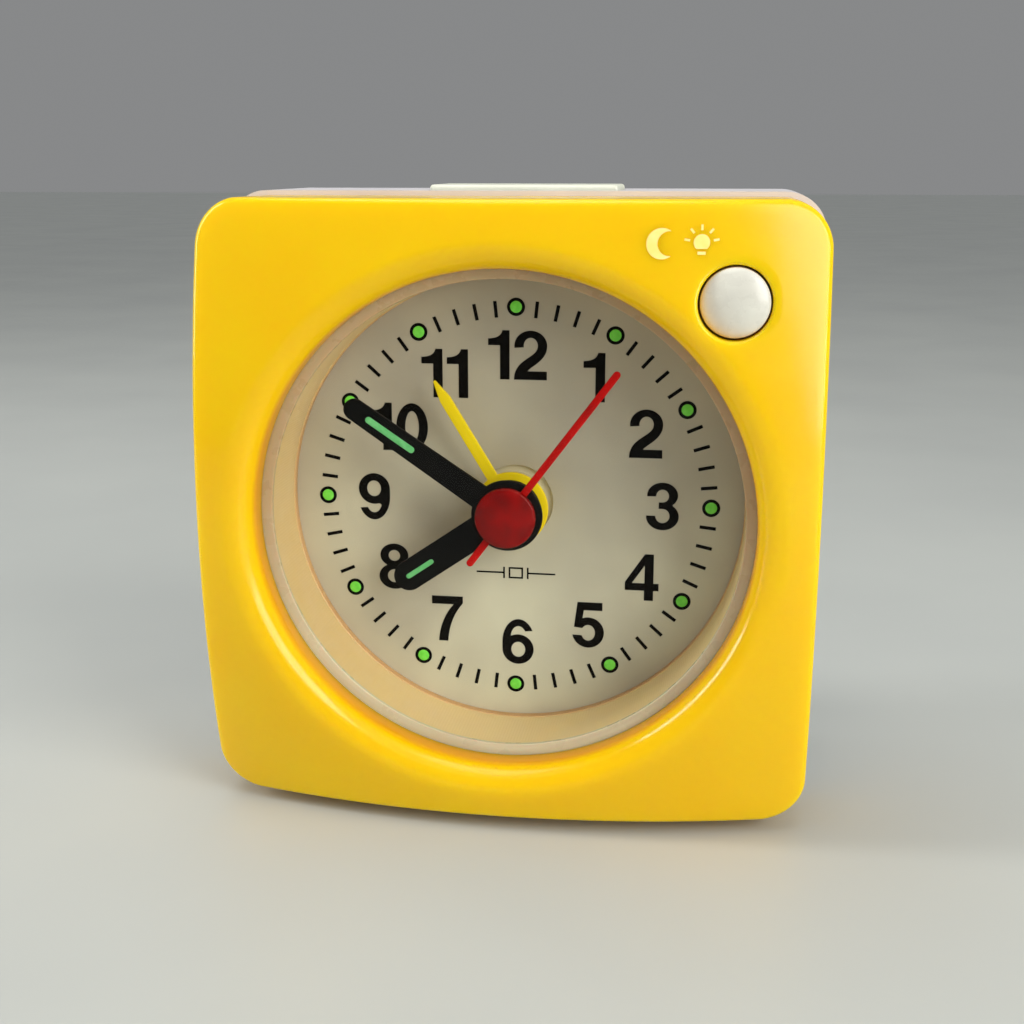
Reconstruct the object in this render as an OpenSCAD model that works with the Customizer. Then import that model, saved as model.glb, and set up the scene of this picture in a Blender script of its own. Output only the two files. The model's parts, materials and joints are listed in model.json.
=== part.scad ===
// Small square quartz alarm clock with a domed front, a round dial and four hands.
// Millimetres. +Z is up, the front faces -Y, and the origin is on the resting plane
// under the middle of the clock.

/* [Case] */
// Width of the case
case_w = 59.5; // [58:0.5:64]
// Height of the front bezel, without its feet
case_h = 59.8; // [59:0.2:64]
// Corner radius of the front bezel, seen from the front
corner_r = 4.4; // [4:0.1:7]
// Corner radius of the rear case
rear_corner_r = 4; // [3.5:0.1:5]
// How far the rear case rises above the bezel at the top
rear_rise = 0.45; // [0:0.05:0.8]
// Wall thickness of both shells
wall = 1.6; // [1.4:0.1:1.8]
// Height of the feet under the shells
foot_h = 1.3; // [0.6:0.1:1.5]
// Radius of the sphere that domes the front
dome_r = 108; // [90:0.5:120]

/* [Dial] */
// Radius of the opening in the bezel
opening_r = 24.1; // [23.7:0.1:24.2]
// Radius of the roll where the front turns into the opening
lip_r = 2.4; // [2:0.1:2.6]
// Depth from the front's highest point to the printed face of the dial
dial_depth = 12.4; // [12.4:0.1:12.8]
// Thickness of the dial plate
dial_t = 0.6; // [0.4:0.1:0.6]
// Inner radius of the light ring around the dial
ring_in_r = 23.1; // [22.8:0.1:23.4]

/* [Hands] */
// Length of the hour hand
hour_len = 14.1; // [12:0.1:16]
// Length of the minute hand
minute_len = 19.2; // [17:0.1:20]
// Length of the second hand
second_len = 18; // [16:0.1:20]
// Tail of the second hand
second_tail = 6.3; // [5:0.1:7]
// Length of the alarm hand
alarm_len = 14.8; // [12:0.1:16]
// Width of the minute hand at its hub
minute_w = 2.5; // [1.2:0.05:3]
// Width of the hour hand
hour_w = 3.05; // [1.5:0.05:3.5]
// Hour shown
hour_shown = 7.845; // [0:0.005:12]
// Minute shown
minute_shown = 50.65; // [0:0.05:60]
// Second shown
second_shown = 6.13; // [0:0.01:60]
// Hour that the alarm hand points to
alarm_shown = 10.955; // [0:0.005:12]

/* [Controls] */
// Radius of the front button
button_r = 3.13; // [2.8:0.01:3.2]
// Distance of the front button from the dial centre, sideways
button_x = 21.26; // [21:0.02:21.6]
// Distance of the front button from the dial centre, upwards
button_up = 21.39; // [21:0.02:21.6]
// Travel of the front button
button_travel = 0.8; // [0.5:0.1:0.8]
// Width of the bar on top
bar_w = 19; // [16:0.5:20]
// Depth of the bar on top, front to back
bar_d = 9; // [7:0.5:9]
// Rise of the bar on top when it is released
bar_travel = 2.5; // [2:0.1:2.5]
// How far the bar stands above the rear case when it is latched down
bar_proud = 0.55; // [0.3:0.05:1]
// Radius of the two setting knobs
knob_r = 5.2; // [4.5:0.1:5.5]
// Sideways distance of each setting knob from the middle
knob_x = 12; // [12:0.1:12.2]
// Drop of the setting knobs below the dial centre
knob_drop = 2.75; // [2.5:0.05:3]

/* [Gear train] */
// Distance from the centre to the third wheel
third_dist = 8.1; // [8.1:0.05:8.2]
// Distance from the centre to the fifth wheel
fifth_dist = 8.4; // [8.4:0.05:8.5]
// Distance from the fifth wheel to the rotor
rotor_dist = 6.3; // [6.2:0.05:6.4]
// Distance from the motion wheel to the centre and to the time setting shaft
motion_dist = 6.4; // [6.35:0.05:6.5]

/* [Battery] */
// Diameter of the cell
cell_d = 14.2; // [13.9:0.1:14.5]
// Length of the cell's body
cell_l = 49.1; // [48.5:0.1:49.5]

/* [Hidden] */
$fn = 64;

eps = 0.01;
run_gap = 0.05;        // radial clearance of a turning shaft
slide_gap = 0.2;       // clearance around a sliding button

// Levels along Z
bezel_mid_z = foot_h + case_h / 2;
dial_z = bezel_mid_z - 0.45;
rear_top_z = foot_h + case_h + rear_rise;
rear_mid_z = (foot_h + rear_top_z) / 2;
rear_h = rear_top_z - foot_h;

// Stations along Y, front to back
crest_r = opening_r + lip_r;
crest_y = -16.4;
dial_y = crest_y + dial_depth;
dial_back_y = dial_y + dial_t;
dome_mid_y = crest_y + sqrt(dome_r * dome_r - crest_r * crest_r);
dome_wall = 1.8;
lip_y = crest_y + lip_r;
crystal_front_y = lip_y + 0.8;
crystal_t = 1.1;
flange_y = crystal_front_y + 0.8;
crystal_back_y = dial_y - 7.7;
flange_r = opening_r + 0.6;
frame_r = flange_r + 1.2;
seam_y = -2;
rear_y = 15;
knob_back_y = -crest_y;

// Movement case
mov_w = 37;
mov_bottom_z = 20.4;
mov_top_z = 54.6;
mov_wall = 1;
front_plate_y = dial_back_y;
front_plate_t = 1;
centre_plate_y = 0.8;
centre_plate_t = 0.8;
cover_y = 9.2;
cover_t = 0.8;

// Axes of the wheels, as [x, z]
C = [0, dial_z];
T = C + third_dist * [cos(130), sin(130)];
F = C + fifth_dist * [cos(50), sin(50)];
M = F + rotor_dist * [cos(75), sin(75)];
S = [knob_x, dial_z - knob_drop];
A = [-knob_x, dial_z - knob_drop];
set_dist = norm(S - C);
set_dir = (S - C) / set_dist;
motion_off = sqrt(motion_dist * motion_dist - set_dist * set_dist / 4);
I = (C + S) / 2 + motion_off * [set_dir[1], -set_dir[0]];

// Tooth counts
centre_n = 48;
third_pinion_n = 6;
third_n = 45;
second_pinion_n = 6;
second_n = 30;
fifth_pinion_n = 6;
fifth_n = 36;
rotor_pinion_n = 6;
cannon_n = 10;
motion_n = 30;
motion_pinion_n = 8;
hour_n = 32;
set_n = 10;
alarm_n = 40;
alarm_set_n = 16;

// Modules of the meshing pairs
centre_m = 2 * third_dist / (centre_n + third_pinion_n);
third_m = 2 * third_dist / (third_n + second_pinion_n);
second_m = 2 * fifth_dist / (second_n + fifth_pinion_n);
fifth_m = 2 * rotor_dist / (fifth_n + rotor_pinion_n);
motion_m = 2 * motion_dist / (motion_n + cannon_n);
hour_m = 2 * motion_dist / (hour_n + motion_pinion_n);
alarm_m = 2 * set_dist / (alarm_n + alarm_set_n);

// Bearing of point b seen from point a, and the turn that puts a gap of the driven wheel
// opposite a tooth of the driver
function bearing(a, b) = atan2(b[1] - a[1], b[0] - a[0]);
function mesh_turn(turn, n_a, n_b, dir) = dir + 180 + (dir - turn) * n_a / n_b + 180 / n_b;

third_pinion_turn = mesh_turn(0, centre_n, third_pinion_n, bearing(C, T));
third_turn = mesh_turn(0, second_pinion_n, third_n, bearing(C, T));
fifth_pinion_turn = mesh_turn(0, second_n, fifth_pinion_n, bearing(C, F));
rotor_pinion_turn = mesh_turn(0, fifth_n, rotor_pinion_n, bearing(F, M));
motion_turn = mesh_turn(0, cannon_n, motion_n, bearing(C, I));
motion_pinion_turn = mesh_turn(0, hour_n, motion_pinion_n, bearing(C, I));
set_turn = mesh_turn(motion_turn, motion_n, set_n, bearing(I, S));
alarm_set_turn = mesh_turn(0, alarm_n, alarm_set_n, bearing(C, A));

// Layers of the wheels along Y
alarm_wheel_y = -2.2;
hour_wheel_y = -1.2;
motion_y = -0.2;
centre_wheel_y = 1.8;
third_wheel_y = 2.9;
second_wheel_y = 3.9;
fifth_wheel_y = 4.9;
stator_y = 6.1;
wheel_t = 0.7;
set_wheel_t = 0.8;

// Concentric tubes of the hands
second_arbor_r = 0.4;
cannon_r = 0.9;
hour_tube_r = 1.5;
alarm_tube_r = 2.1;
boss_r = 3;
arbor_r = 0.45;
knob_shaft_r = 0.9;
post_r = 0.6;

// Motor coil and its core
coil_z = 50.2;
coil_y = 6.5;
coil_half = 8;
core_half = 11;

// Screws of the movement case
mov_screw_x = 15.4;
mov_screw_zs = [23, 51.5];

// Hands: front faces, hub radii and angles clockwise from twelve
alarm_hand_y = dial_y - 3.3;
hour_hand_y = dial_y - 4.3;
minute_hand_y = dial_y - 6.3;
cap_y = dial_y - 7.85;
hand_t = 0.5;
minute_hub_r = 3.52;
hour_hub_r = 3.1;
alarm_hub_r = 3.7;
cap_r = 2.97;
cap_t = 1;
needle_w = 0.72;
needle_t = 0.3;
alarm_w = 1.12;
alarm_point = 2.1;
minute_tip_w = 0.86 * minute_w;
hour_angle = 30 * hour_shown;
minute_angle = 6 * minute_shown;
second_angle = 6 * second_shown;
alarm_angle = 30 * alarm_shown;

// Front button
B = [button_x, dial_z + button_up];
button_hole_r = button_r + slide_gap;
button_rim_y = dial_y - 11.8;
button_dome = 0.75;
guide_end_y = -11.4;
stem_r = 1.2;
plunger_r = 0.9;
plunger_y = 8.5;

// Top bar
bar_y = 0.6;
bar_top_z = rear_top_z + bar_proud;
bar_flange_z = rear_top_z - wall - bar_travel - 0.8;
bar_flange_t = 0.7;
bar_skin = 1.2;
bar_flange_out = 0.9;
bar_spring_r = 1.7;
bar_wire_r = 0.18;
bar_mid_y = bar_y + bar_d / 2;

// Circuit board
board_y = 10.2;
board_t = 0.8;

// Lamp beside the light ring, and its bearing from the dial centre
lamp_angle = 40;
lamp_r = 1.25;
lamp_p = C + (frame_r + 0.15 + lamp_r) * [cos(lamp_angle), sin(lamp_angle)];

// Battery
cell_y = 6.2;
cell_z = 11.5;
cell_tip_x = 26.2;
nub_l = 1.4;
nub_r = 2.6;
cell_back_x = cell_tip_x - nub_l - cell_l;
contact_t = 0.4;
spring_l = 3.4;
bay_top_z = 18.9;
bay_wall = 1.2;

// Battery door
door_w = 52;
door_low_z = 3.6;
door_high_z = 19.2;
door_t = 1.4;
door_gap = 0.2;

// Case screws
screw_x = 26;
screw_zs = [22, 40];
screw_r = 0.8;
screw_head_r = 1.5;
screw_seat_y = 3;

// Buzzer and sound holes
buzzer_z = 45;
buzzer_r = 9;
buzzer_y = 12.2;

// ---- Shared shapes ----

// A flat outline in the X-Z plane, thickened from y_front backwards
module slab(y_front, t) {
    translate([0, y_front + t, 0]) rotate([90, 0, 0]) linear_extrude(height = t) children();
}

// A round bar along Y
module rod(y_1, y_2, r) {
    translate([0, y_2, 0]) rotate([90, 0, 0]) cylinder(h = y_2 - y_1, r = r);
}

// A round tube along Y
module sleeve(y_1, y_2, r_in, r_out) {
    difference() {
        rod(y_1, y_2, r_out);
        rod(y_1 - 1, y_2 + 1, r_in);
    }
}

// Puts a piece on the axis p = [x, z]
module on(p) {
    translate([p[0], 0, p[1]]) children();
}

// A rectangle with round corners, centred
module round_rect(w, h, r) {
    square([w - 2 * r, h], center = true);
    square([w, h - 2 * r], center = true);
    for (sx = [-1, 1], sz = [-1, 1])
        translate([sx * (w / 2 - r), sz * (h / 2 - r)]) circle(r = r);
}

// A box between two corners
module block(low, high) {
    translate(low) cube(high - low);
}

// Outline of a wheel or pinion with n straight-sided teeth, one of them at angle turn
module teeth(n, m, turn, tip, root, tip_share, root_share) {
    step = 360 / n;
    tip_r = n * m / 2 + tip * m;
    root_r = n * m / 2 - root * m;
    polygon([
        for (i = [0 : n - 1], c = [
            [root_r, -root_share / 2], [tip_r, -tip_share / 2],
            [tip_r, tip_share / 2], [root_r, root_share / 2]
        ])
            c[0] * [cos(turn + (i + c[1]) * step), sin(turn + (i + c[1]) * step)]
    ]);
}

module wheel_teeth(n, m, turn = 0) {
    teeth(n, m, turn, 0.8, 1.1, 0.24, 0.55);
}

module pinion_teeth(n, m, turn = 0) {
    teeth(n, m, turn, 0.6, 1.15, 0.24, 0.5);
}

// A wheel plate with lightening holes and a centre hole
module wheel_plate(n, m, bore, holes = 0, turn = 0) {
    rim = n * m / 2 - 1.1 * m - 0.8;
    hub = bore + 0.9;
    hole_at = (rim + hub) / 2;
    difference() {
        wheel_teeth(n, m, turn);
        circle(r = bore);
        for (i = [0 : 1 : holes - 1])
            rotate(i * 360 / holes) translate([hole_at, 0])
                circle(r = min((rim - hub) / 2, hole_at * sin(180 / holes) - 0.4));
    }
}

// A tube swept along a list of points with an even number of flat sides
function ring_at(p, d, r, n) =
    let(
        u = abs(d[2]) > 0.9 * norm(d) ? [1, 0, 0] : [0, 0, 1],
        a = cross(d, u) / norm(cross(d, u)),
        b = cross(d, a) / norm(d)
    )
    [for (k = [0 : n - 1]) p + r * (cos(k * 360 / n) * a + sin(k * 360 / n) * b)];

function direction(path, i) =
    path[min(i + 1, len(path) - 1)] - path[max(i - 1, 0)];

module swept(path, r, n = 8) {
    count = len(path);
    points = [for (i = [0 : count - 1]) each ring_at(path[i], direction(path, i), r, n)];
    sides = [
        for (i = [0 : count - 2], k = [0 : n - 1])
            let(a = i * n + k, b = i * n + (k + 1) % n)
                each [[a, a + n, b + n], [a, b + n, b]]
    ];
    ends = [
        [for (k = [0 : n - 1]) k],
        [for (k = [n - 1 : -1 : 0]) (count - 1) * n + k]
    ];
    polyhedron(points = points, faces = concat(sides, ends), convexity = 10);
}

// Points of a coil spring along Z, from radius r_1 to r_2
function coil_path(r_1, r_2, h, turns, steps = 14) = [
    for (i = [0 : turns * steps])
        let(s = i / (turns * steps), r = r_1 + (r_2 - r_1) * s, a = 360 * turns * s)
        [r * cos(a), r * sin(a), h * s]
];

// ---- Case ----

module dome(inset) {
    translate([0, dome_mid_y, dial_z]) rotate([90, 0, 0]) sphere(r = dome_r - inset, $fn = 200);
}

module bezel_blank(inset, y_back) {
    intersection() {
        translate([0, 0, bezel_mid_z])
            slab(crest_y - 5, y_back - crest_y + 5)
                round_rect(case_w - 2 * inset, case_h - 2 * inset, corner_r - inset);
        dome(inset == 0 ? 0 : dome_wall);
    }
}

// Ring of material that is cut away to roll the front into the opening
module lip_cut() {
    translate([0, 0, dial_z]) rotate([90, 0, 0]) rotate_extrude()
        difference() {
            translate([0, -lip_y]) square([crest_r, 6]);
            translate([crest_r, -lip_y]) circle(r = lip_r);
        }
}

module screw_places() {
    for (sx = [-1, 1], z = screw_zs) on([sx * screw_x, z]) children();
}

module feet(y) {
    for (sx = [-1, 1])
        translate([sx * 20, y, 0]) cylinder(h = foot_h + 0.4, r = 2.5);
}

module front_bezel() {
    color("gold") difference() {
        union() {
            difference() {
                bezel_blank(0, seam_y);
                bezel_blank(wall, seam_y + 1);
            }
            on(C) intersection() {
                rod(crest_y - 1, dial_back_y, frame_r);
                translate([0, dome_mid_y, 0]) rotate([90, 0, 0]) sphere(r = dome_r - 0.5, $fn = 200);
            }
            intersection() {
                on(B) rod(crest_y, guide_end_y, button_hole_r + 0.9);
                dome(0.5);
            }
            screw_places() rod(crest_y + 1.6, seam_y, 1.9);
            feet(-6.5);
        }
        on(C) rod(crest_y - 2, flange_y, opening_r);
        on(C) rod(flange_y - eps, dial_back_y + 1, flange_r + 0.1);
        lip_cut();
        on(B) rod(crest_y - 1, guide_end_y + 1, button_hole_r);
        screw_places() rod(crest_y + 5, seam_y + 1, screw_r + 0.05);
        // Window that lets the lamp shine into the light ring
        on(C) rotate([0, -lamp_angle, 0])
            block([flange_r - 1, dial_y - 4.5, -1.2], [frame_r + 0.5, dial_y - 0.8, 1.2]);
    }
}

module rear_blank(inset, y_front, y_back) {
    translate([0, 0, rear_mid_z])
        slab(y_front, y_back - y_front)
            round_rect(case_w - 2 * inset, rear_h - 2 * inset, rear_corner_r - inset);
}

module knob_places() {
    for (p = [S, A]) on(p) children();
}

module sound_holes() {
    on([0, buzzer_z]) rod(rear_y - 3, rear_y + 1, 0.8);
    for (ring = [1, 2], i = [0 : 6 * ring - 1])
        on([0, buzzer_z] + 2.7 * ring * [cos(i * 60 / ring), sin(i * 60 / ring)])
            rod(rear_y - 3, rear_y + 1, 0.8);
}

module rear_case() {
    color("gainsboro") difference() {
        union() {
            difference() {
                rear_blank(0, seam_y, rear_y);
                rear_blank(wall, seam_y - 1, rear_y - wall);
            }
            // Shelf and front wall of the battery bay
            block([-case_w / 2 + 1, seam_y, bay_top_z], [case_w / 2 - 1, rear_y - 1, bay_top_z + bay_wall]);
            // Posts for the case screws, wells for the knobs and the buzzer's seat
            screw_places() rod(seam_y, rear_y - 0.5, 2.4);
            knob_places() rod(rear_y - wall - 1.2, rear_y - 1, knob_r + 2.2);
            on([0, buzzer_z]) sleeve(buzzer_y - 0.4, rear_y - 1, buzzer_r - 0.6, buzzer_r + 1);
            feet(9);
        }
        on([0, buzzer_z]) rod(buzzer_y - 1, buzzer_y + 0.5, buzzer_r + 0.05);
        screw_places() rod(screw_seat_y, rear_y + 1, screw_head_r + 0.15);
        screw_places() rod(seam_y - 1, rear_y, screw_r + 0.1);
        knob_places() rod(rear_y - wall, rear_y + 1, knob_r + 1);
        knob_places() rod(rear_y - 4, rear_y + 1, knob_shaft_r + run_gap);
        sound_holes();
        // Opening for the battery door
        block(
            [-door_w / 2 - door_gap, rear_y - wall - 1, door_low_z - door_gap],
            [door_w / 2 + door_gap, rear_y + 1, door_high_z + door_gap]
        );
        // Slot for the top bar
        block(
            [-bar_w / 2 - slide_gap, bar_y - slide_gap, rear_top_z - wall - 1],
            [bar_w / 2 + slide_gap, bar_y + bar_d + slide_gap, rear_top_z + 1]
        );
        // Passages for the battery leads
        for (sx = [-1, 1]) translate([sx * 22.4, 11, bay_top_z - 1]) cylinder(h = 4, r = 0.8);
    }
}

module battery_door() {
    color("lightgray") difference() {
        union() {
            block([-door_w / 2, rear_y - door_t, door_low_z], [door_w / 2, rear_y, door_high_z]);
            // Springy tongue of the catch
            block([-4, rear_y - door_t - 1, door_high_z - 3.6], [4, rear_y - door_t + eps, door_high_z - 2.6]);
        }
        // Finger grooves
        for (i = [0 : 4])
            block([-6, rear_y - 0.4, door_high_z - 2.4 - i * 1.4], [6, rear_y + 1, door_high_z - 1.7 - i * 1.4]);
        // Gaps that free the tongue of the catch
        for (sx = [-1, 1])
            block([sx * 7.5 - 0.4, rear_y - 3, door_high_z - 5], [sx * 7.5 + 0.4, rear_y + 1, door_high_z + 1]);
    }
}

module case_screws() {
    color("silver") screw_places() difference() {
        union() {
            rod(screw_seat_y - 11, screw_seat_y + eps, screw_r);
            rod(screw_seat_y, screw_seat_y + 1, screw_head_r);
        }
        for (a = [0, 90]) rotate([0, a, 0])
            block([-1, screw_seat_y + 0.5, -0.2], [1, screw_seat_y + 2, 0.2]);
    }
}

module crystal() {
    color("azure", 0.4) on(C) {
        rod(crystal_front_y, crystal_front_y + crystal_t, opening_r - 0.1);
        sleeve(flange_y, crystal_back_y, ring_in_r - 0.2, flange_r);
    }
}

module dial_ring() {
    color("bisque") on(C) sleeve(crystal_back_y, dial_y, ring_in_r, flange_r);
}

module dial() {
    color("silver") on(C) difference() {
        sleeve(dial_y, dial_back_y, boss_r + 0.8, flange_r);
        // Keying notch at the bottom edge
        translate([0, dial_y - 1, -flange_r]) block([-0.8, 0, -1], [0.8, 3, 0.8]);
    }
}

// ---- Hands ----

// Turns a hand drawn pointing up to its place on the dial
module aimed(angle) {
    on(C) rotate([0, angle, 0]) children();
}

// A bar with a round end, w wide at the hub and w_tip wide at its tip
module bar_outline(len, w, w_tip) {
    polygon([[-w / 2, 0], [w / 2, 0], [w_tip / 2, len - w_tip / 2], [-w_tip / 2, len - w_tip / 2]]);
    translate([0, len - w_tip / 2]) circle(r = w_tip / 2);
}

module bar_hand(len, w, w_tip, y, bore, hub) {
    slab(y, hand_t) difference() {
        union() {
            bar_outline(len, w, w_tip);
            circle(r = hub);
        }
        circle(r = bore);
    }
}

module second_hand() {
    color("crimson") aimed(second_angle) {
        difference() {
            union() {
                // Cap: a short drum with a shallow dome
                rod(cap_y + 0.35, cap_y + cap_t, cap_r);
                intersection() {
                    rod(cap_y, cap_y + 0.5, cap_r);
                    translate([0, cap_y + 14, 0]) sphere(r = 14, $fn = 240);
                }
                slab(cap_y + cap_t - eps, needle_t + eps) {
                    bar_outline(second_len, needle_w, needle_w);
                    rotate(180) bar_outline(second_tail, needle_w, needle_w);
                }
            }
            rod(cap_y + 0.6, cap_y + 3, second_arbor_r);
        }
    }
}

module minute_hand() {
    color("black") aimed(minute_angle) {
        bar_hand(minute_len, minute_w, minute_tip_w, minute_hand_y, cannon_r, minute_hub_r);
        sleeve(minute_hand_y + hand_t - eps, minute_hand_y + hand_t + 0.6, cannon_r, cannon_r + 1);
    }
}

module hour_hand() {
    color("black") aimed(hour_angle) {
        bar_hand(hour_len, hour_w, hour_w, hour_hand_y, hour_tube_r, hour_hub_r);
        sleeve(hour_hand_y + hand_t - eps, hour_hand_y + hand_t + 0.25, hour_tube_r, hour_tube_r + 0.9);
    }
}

module alarm_hand() {
    color("yellow") aimed(alarm_angle) {
        slab(alarm_hand_y, hand_t) difference() {
            union() {
                circle(r = alarm_hub_r);
                polygon([
                    [-alarm_w / 2, 0], [alarm_w / 2, 0], [alarm_w / 2, alarm_len - alarm_point],
                    [0, alarm_len], [-alarm_w / 2, alarm_len - alarm_point]
                ]);
            }
            circle(r = alarm_tube_r);
        }
        sleeve(alarm_hand_y + hand_t - eps, alarm_hand_y + hand_t + 0.6, alarm_tube_r, alarm_tube_r + 0.7);
    }
}

// ---- Controls ----

module snooze_button() {
    color("white") on(B) {
        rod(button_rim_y + button_dome, guide_end_y + 0.2, button_r);
        // Domed face
        intersection() {
            rod(button_rim_y, button_rim_y + button_dome + eps, button_r);
            translate([0, button_rim_y + 6.9, 0]) sphere(r = 6.9, $fn = 200);
        }
        rod(guide_end_y + 0.1, guide_end_y + 0.9, button_hole_r + 0.5);
        rod(guide_end_y, plunger_y - 3, stem_r);
        rod(plunger_y - 3 - eps, plunger_y, plunger_r);
    }
}

module snooze_switch() {
    color("dimgray") on(B) difference() {
        block([-2.25, board_y - 2, -2.25], [2.25, board_y, 2.25]);
        rod(board_y - 3, board_y - 0.4, plunger_r + 0.1);
    }
}

module alarm_bar() {
    color("honeydew") difference() {
        union() {
            block([-bar_w / 2, bar_y, bar_flange_z], [bar_w / 2, bar_y + bar_d, bar_top_z]);
            block(
                [-bar_w / 2 - bar_flange_out, bar_y - bar_flange_out, bar_flange_z],
                [bar_w / 2 + bar_flange_out, bar_y + bar_d + bar_flange_out, bar_flange_z + bar_flange_t]
            );
        }
        block(
            [-bar_w / 2 + bar_skin, bar_y + bar_skin, bar_flange_z - 1],
            [bar_w / 2 - bar_skin, bar_y + bar_d - bar_skin, bar_top_z - bar_skin]
        );
    }
}

module alarm_bar_spring() {
    spring_h = bar_top_z - bar_skin - mov_top_z - 2 * bar_wire_r;
    color("silver") translate([0, bar_mid_y, mov_top_z + bar_wire_r])
        swept(coil_path(bar_spring_r, bar_spring_r, spring_h, 5), bar_wire_r, 6);
}

module knob(p) {
    on(p) difference() {
        union() {
            rod(rear_y - wall + 0.3, knob_back_y, knob_r - 0.3);
            // Grip ribs
            for (i = [0 : 17]) rotate([0, i * 20, 0])
                translate([knob_r - 0.3, 0, 0]) rod(rear_y - wall + 0.3, knob_back_y - 0.3, 0.3);
        }
        rod(rear_y - wall - 1, knob_back_y - 0.8, knob_shaft_r);
    }
}

module time_set_knob() {
    color("whitesmoke") knob(S);
}

module alarm_set_knob() {
    color("whitesmoke") knob(A);
}

module set_shaft(y_pinion) {
    rod(front_plate_y + 0.3, y_pinion + eps, 0.5);
    rod(y_pinion + set_wheel_t - eps, knob_back_y - 0.8, knob_shaft_r);
}

module time_set_shaft() {
    color("white") on(S) {
        set_shaft(motion_y);
        slab(motion_y, set_wheel_t) pinion_teeth(set_n, motion_m, set_turn);
    }
}

module alarm_set_shaft() {
    color("white") on(A) {
        set_shaft(alarm_wheel_y);
        slab(alarm_wheel_y, set_wheel_t) pinion_teeth(alarm_set_n, alarm_m, alarm_set_turn);
    }
}

// ---- Movement ----

module movement_outline(inset) {
    translate([0, (mov_bottom_z + mov_top_z) / 2])
        round_rect(mov_w - 2 * inset, mov_top_z - mov_bottom_z - 2 * inset, 2 - inset / 2);
}

module mov_screw_places() {
    for (sx = [-1, 1], z = mov_screw_zs) on([sx * mov_screw_x, z]) children();
}

module movement_front_plate() {
    color("white") difference() {
        union() {
            slab(front_plate_y, front_plate_t) movement_outline(0);
            on(C) rod(dial_y - 0.6, front_plate_y + 0.1, boss_r);
            mov_screw_places() rod(front_plate_y + 0.5, centre_plate_y, 1.5);
        }
        on(C) rod(dial_y - 2, front_plate_y + 3, alarm_tube_r + run_gap);
        for (p = [S, A]) on(p) rod(front_plate_y - 1, front_plate_y + 3, 0.5 + run_gap);
        mov_screw_places() rod(front_plate_y + 1, front_plate_y + 9, 0.6);
    }
}

module movement_centre_plate() {
    color("ivory") {
        difference() {
            slab(centre_plate_y, centre_plate_t) movement_outline(mov_wall + 0.1);
            on(C) rod(0, 3, cannon_r + run_gap);
            for (p = [T, F, M]) on(p) rod(0, 3, arbor_r + run_gap);
            for (p = [S, A]) on(p) rod(0, 3, knob_shaft_r + run_gap);
            mov_screw_places() rod(0, 3, 0.7);
        }
        // Post that carries the motion wheel
        on(I) rod(hour_wheel_y - 0.1, centre_plate_y + eps, post_r);
    }
}

module movement_rear_cover() {
    color("white") difference() {
        slab(front_plate_y + front_plate_t, cover_y + cover_t - front_plate_y - front_plate_t)
            movement_outline(0);
        difference() {
            slab(front_plate_y, cover_y - front_plate_y) movement_outline(mov_wall);
            mov_screw_places() rod(centre_plate_y + centre_plate_t, cover_y + 0.1, 1.5);
        }
        for (p = [C, T, F, M]) on(p) rod(cover_y - 1, cover_y + 0.6, arbor_r + run_gap);
        for (p = [S, A]) on(p) rod(cover_y - 1, cover_y + 2, knob_shaft_r + run_gap);
        mov_screw_places() rod(0, cover_y + 2, 0.7);
    }
}

module movement_screws() {
    color("silver") mov_screw_places() {
        rod(front_plate_y + 1.2, cover_y + cover_t + eps, 0.58);
        rod(cover_y + cover_t, cover_y + cover_t + 0.15, 0.9);
    }
}

module second_wheel() {
    color("white") on(C) {
        difference() {
            union() {
                slab(second_wheel_y, wheel_t) wheel_plate(second_n, second_m, 0.3, 5);
                slab(third_wheel_y - 0.1, second_wheel_y - third_wheel_y + 0.1 + eps)
                    pinion_teeth(second_pinion_n, third_m);
            }
            rod(cap_y, cover_y + 2, second_arbor_r - eps);
        }
        rod(cap_y + 0.6, cover_y - eps, second_arbor_r);
        rod(cover_y - 0.1, cover_y + 0.5, arbor_r - 0.05);
    }
}

module arbor_with_pinion(y_pinion, len, n, m, turn) {
    rod(centre_plate_y + 0.1, cover_y + 0.5, arbor_r);
    slab(y_pinion, len) pinion_teeth(n, m, turn);
}

module fifth_wheel() {
    color("white") on(F) {
        slab(fifth_wheel_y, wheel_t) wheel_plate(fifth_n, fifth_m, 0.3, 5);
        arbor_with_pinion(second_wheel_y - 0.1, 1.15, fifth_pinion_n, second_m, fifth_pinion_turn);
    }
}

module third_wheel() {
    color("white") on(T) {
        slab(third_wheel_y, wheel_t) wheel_plate(third_n, third_m, 0.3, 5, third_turn);
        arbor_with_pinion(centre_wheel_y - 0.1, 1.25, third_pinion_n, centre_m, third_pinion_turn);
    }
}

module centre_wheel() {
    color("white") on(C)
        slab(centre_wheel_y, wheel_t) wheel_plate(centre_n, centre_m, cannon_r + run_gap, 6);
}

module cannon_pinion() {
    color("white") on(C) difference() {
        union() {
            rod(minute_hand_y - 0.2, centre_wheel_y + wheel_t + 0.2, cannon_r);
            slab(motion_y, set_wheel_t) pinion_teeth(cannon_n, motion_m);
        }
        rod(minute_hand_y - 1, centre_wheel_y + 3, second_arbor_r + run_gap);
    }
}

module motion_wheel() {
    color("white") on(I) difference() {
        union() {
            slab(motion_y, set_wheel_t) wheel_plate(motion_n, motion_m, 0.3, 0, motion_turn);
            slab(hour_wheel_y - 0.1, motion_y - hour_wheel_y + 0.1 + eps)
                pinion_teeth(motion_pinion_n, hour_m, motion_pinion_turn);
        }
        rod(hour_wheel_y - 1, motion_y + 2, post_r + run_gap);
    }
}

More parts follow.
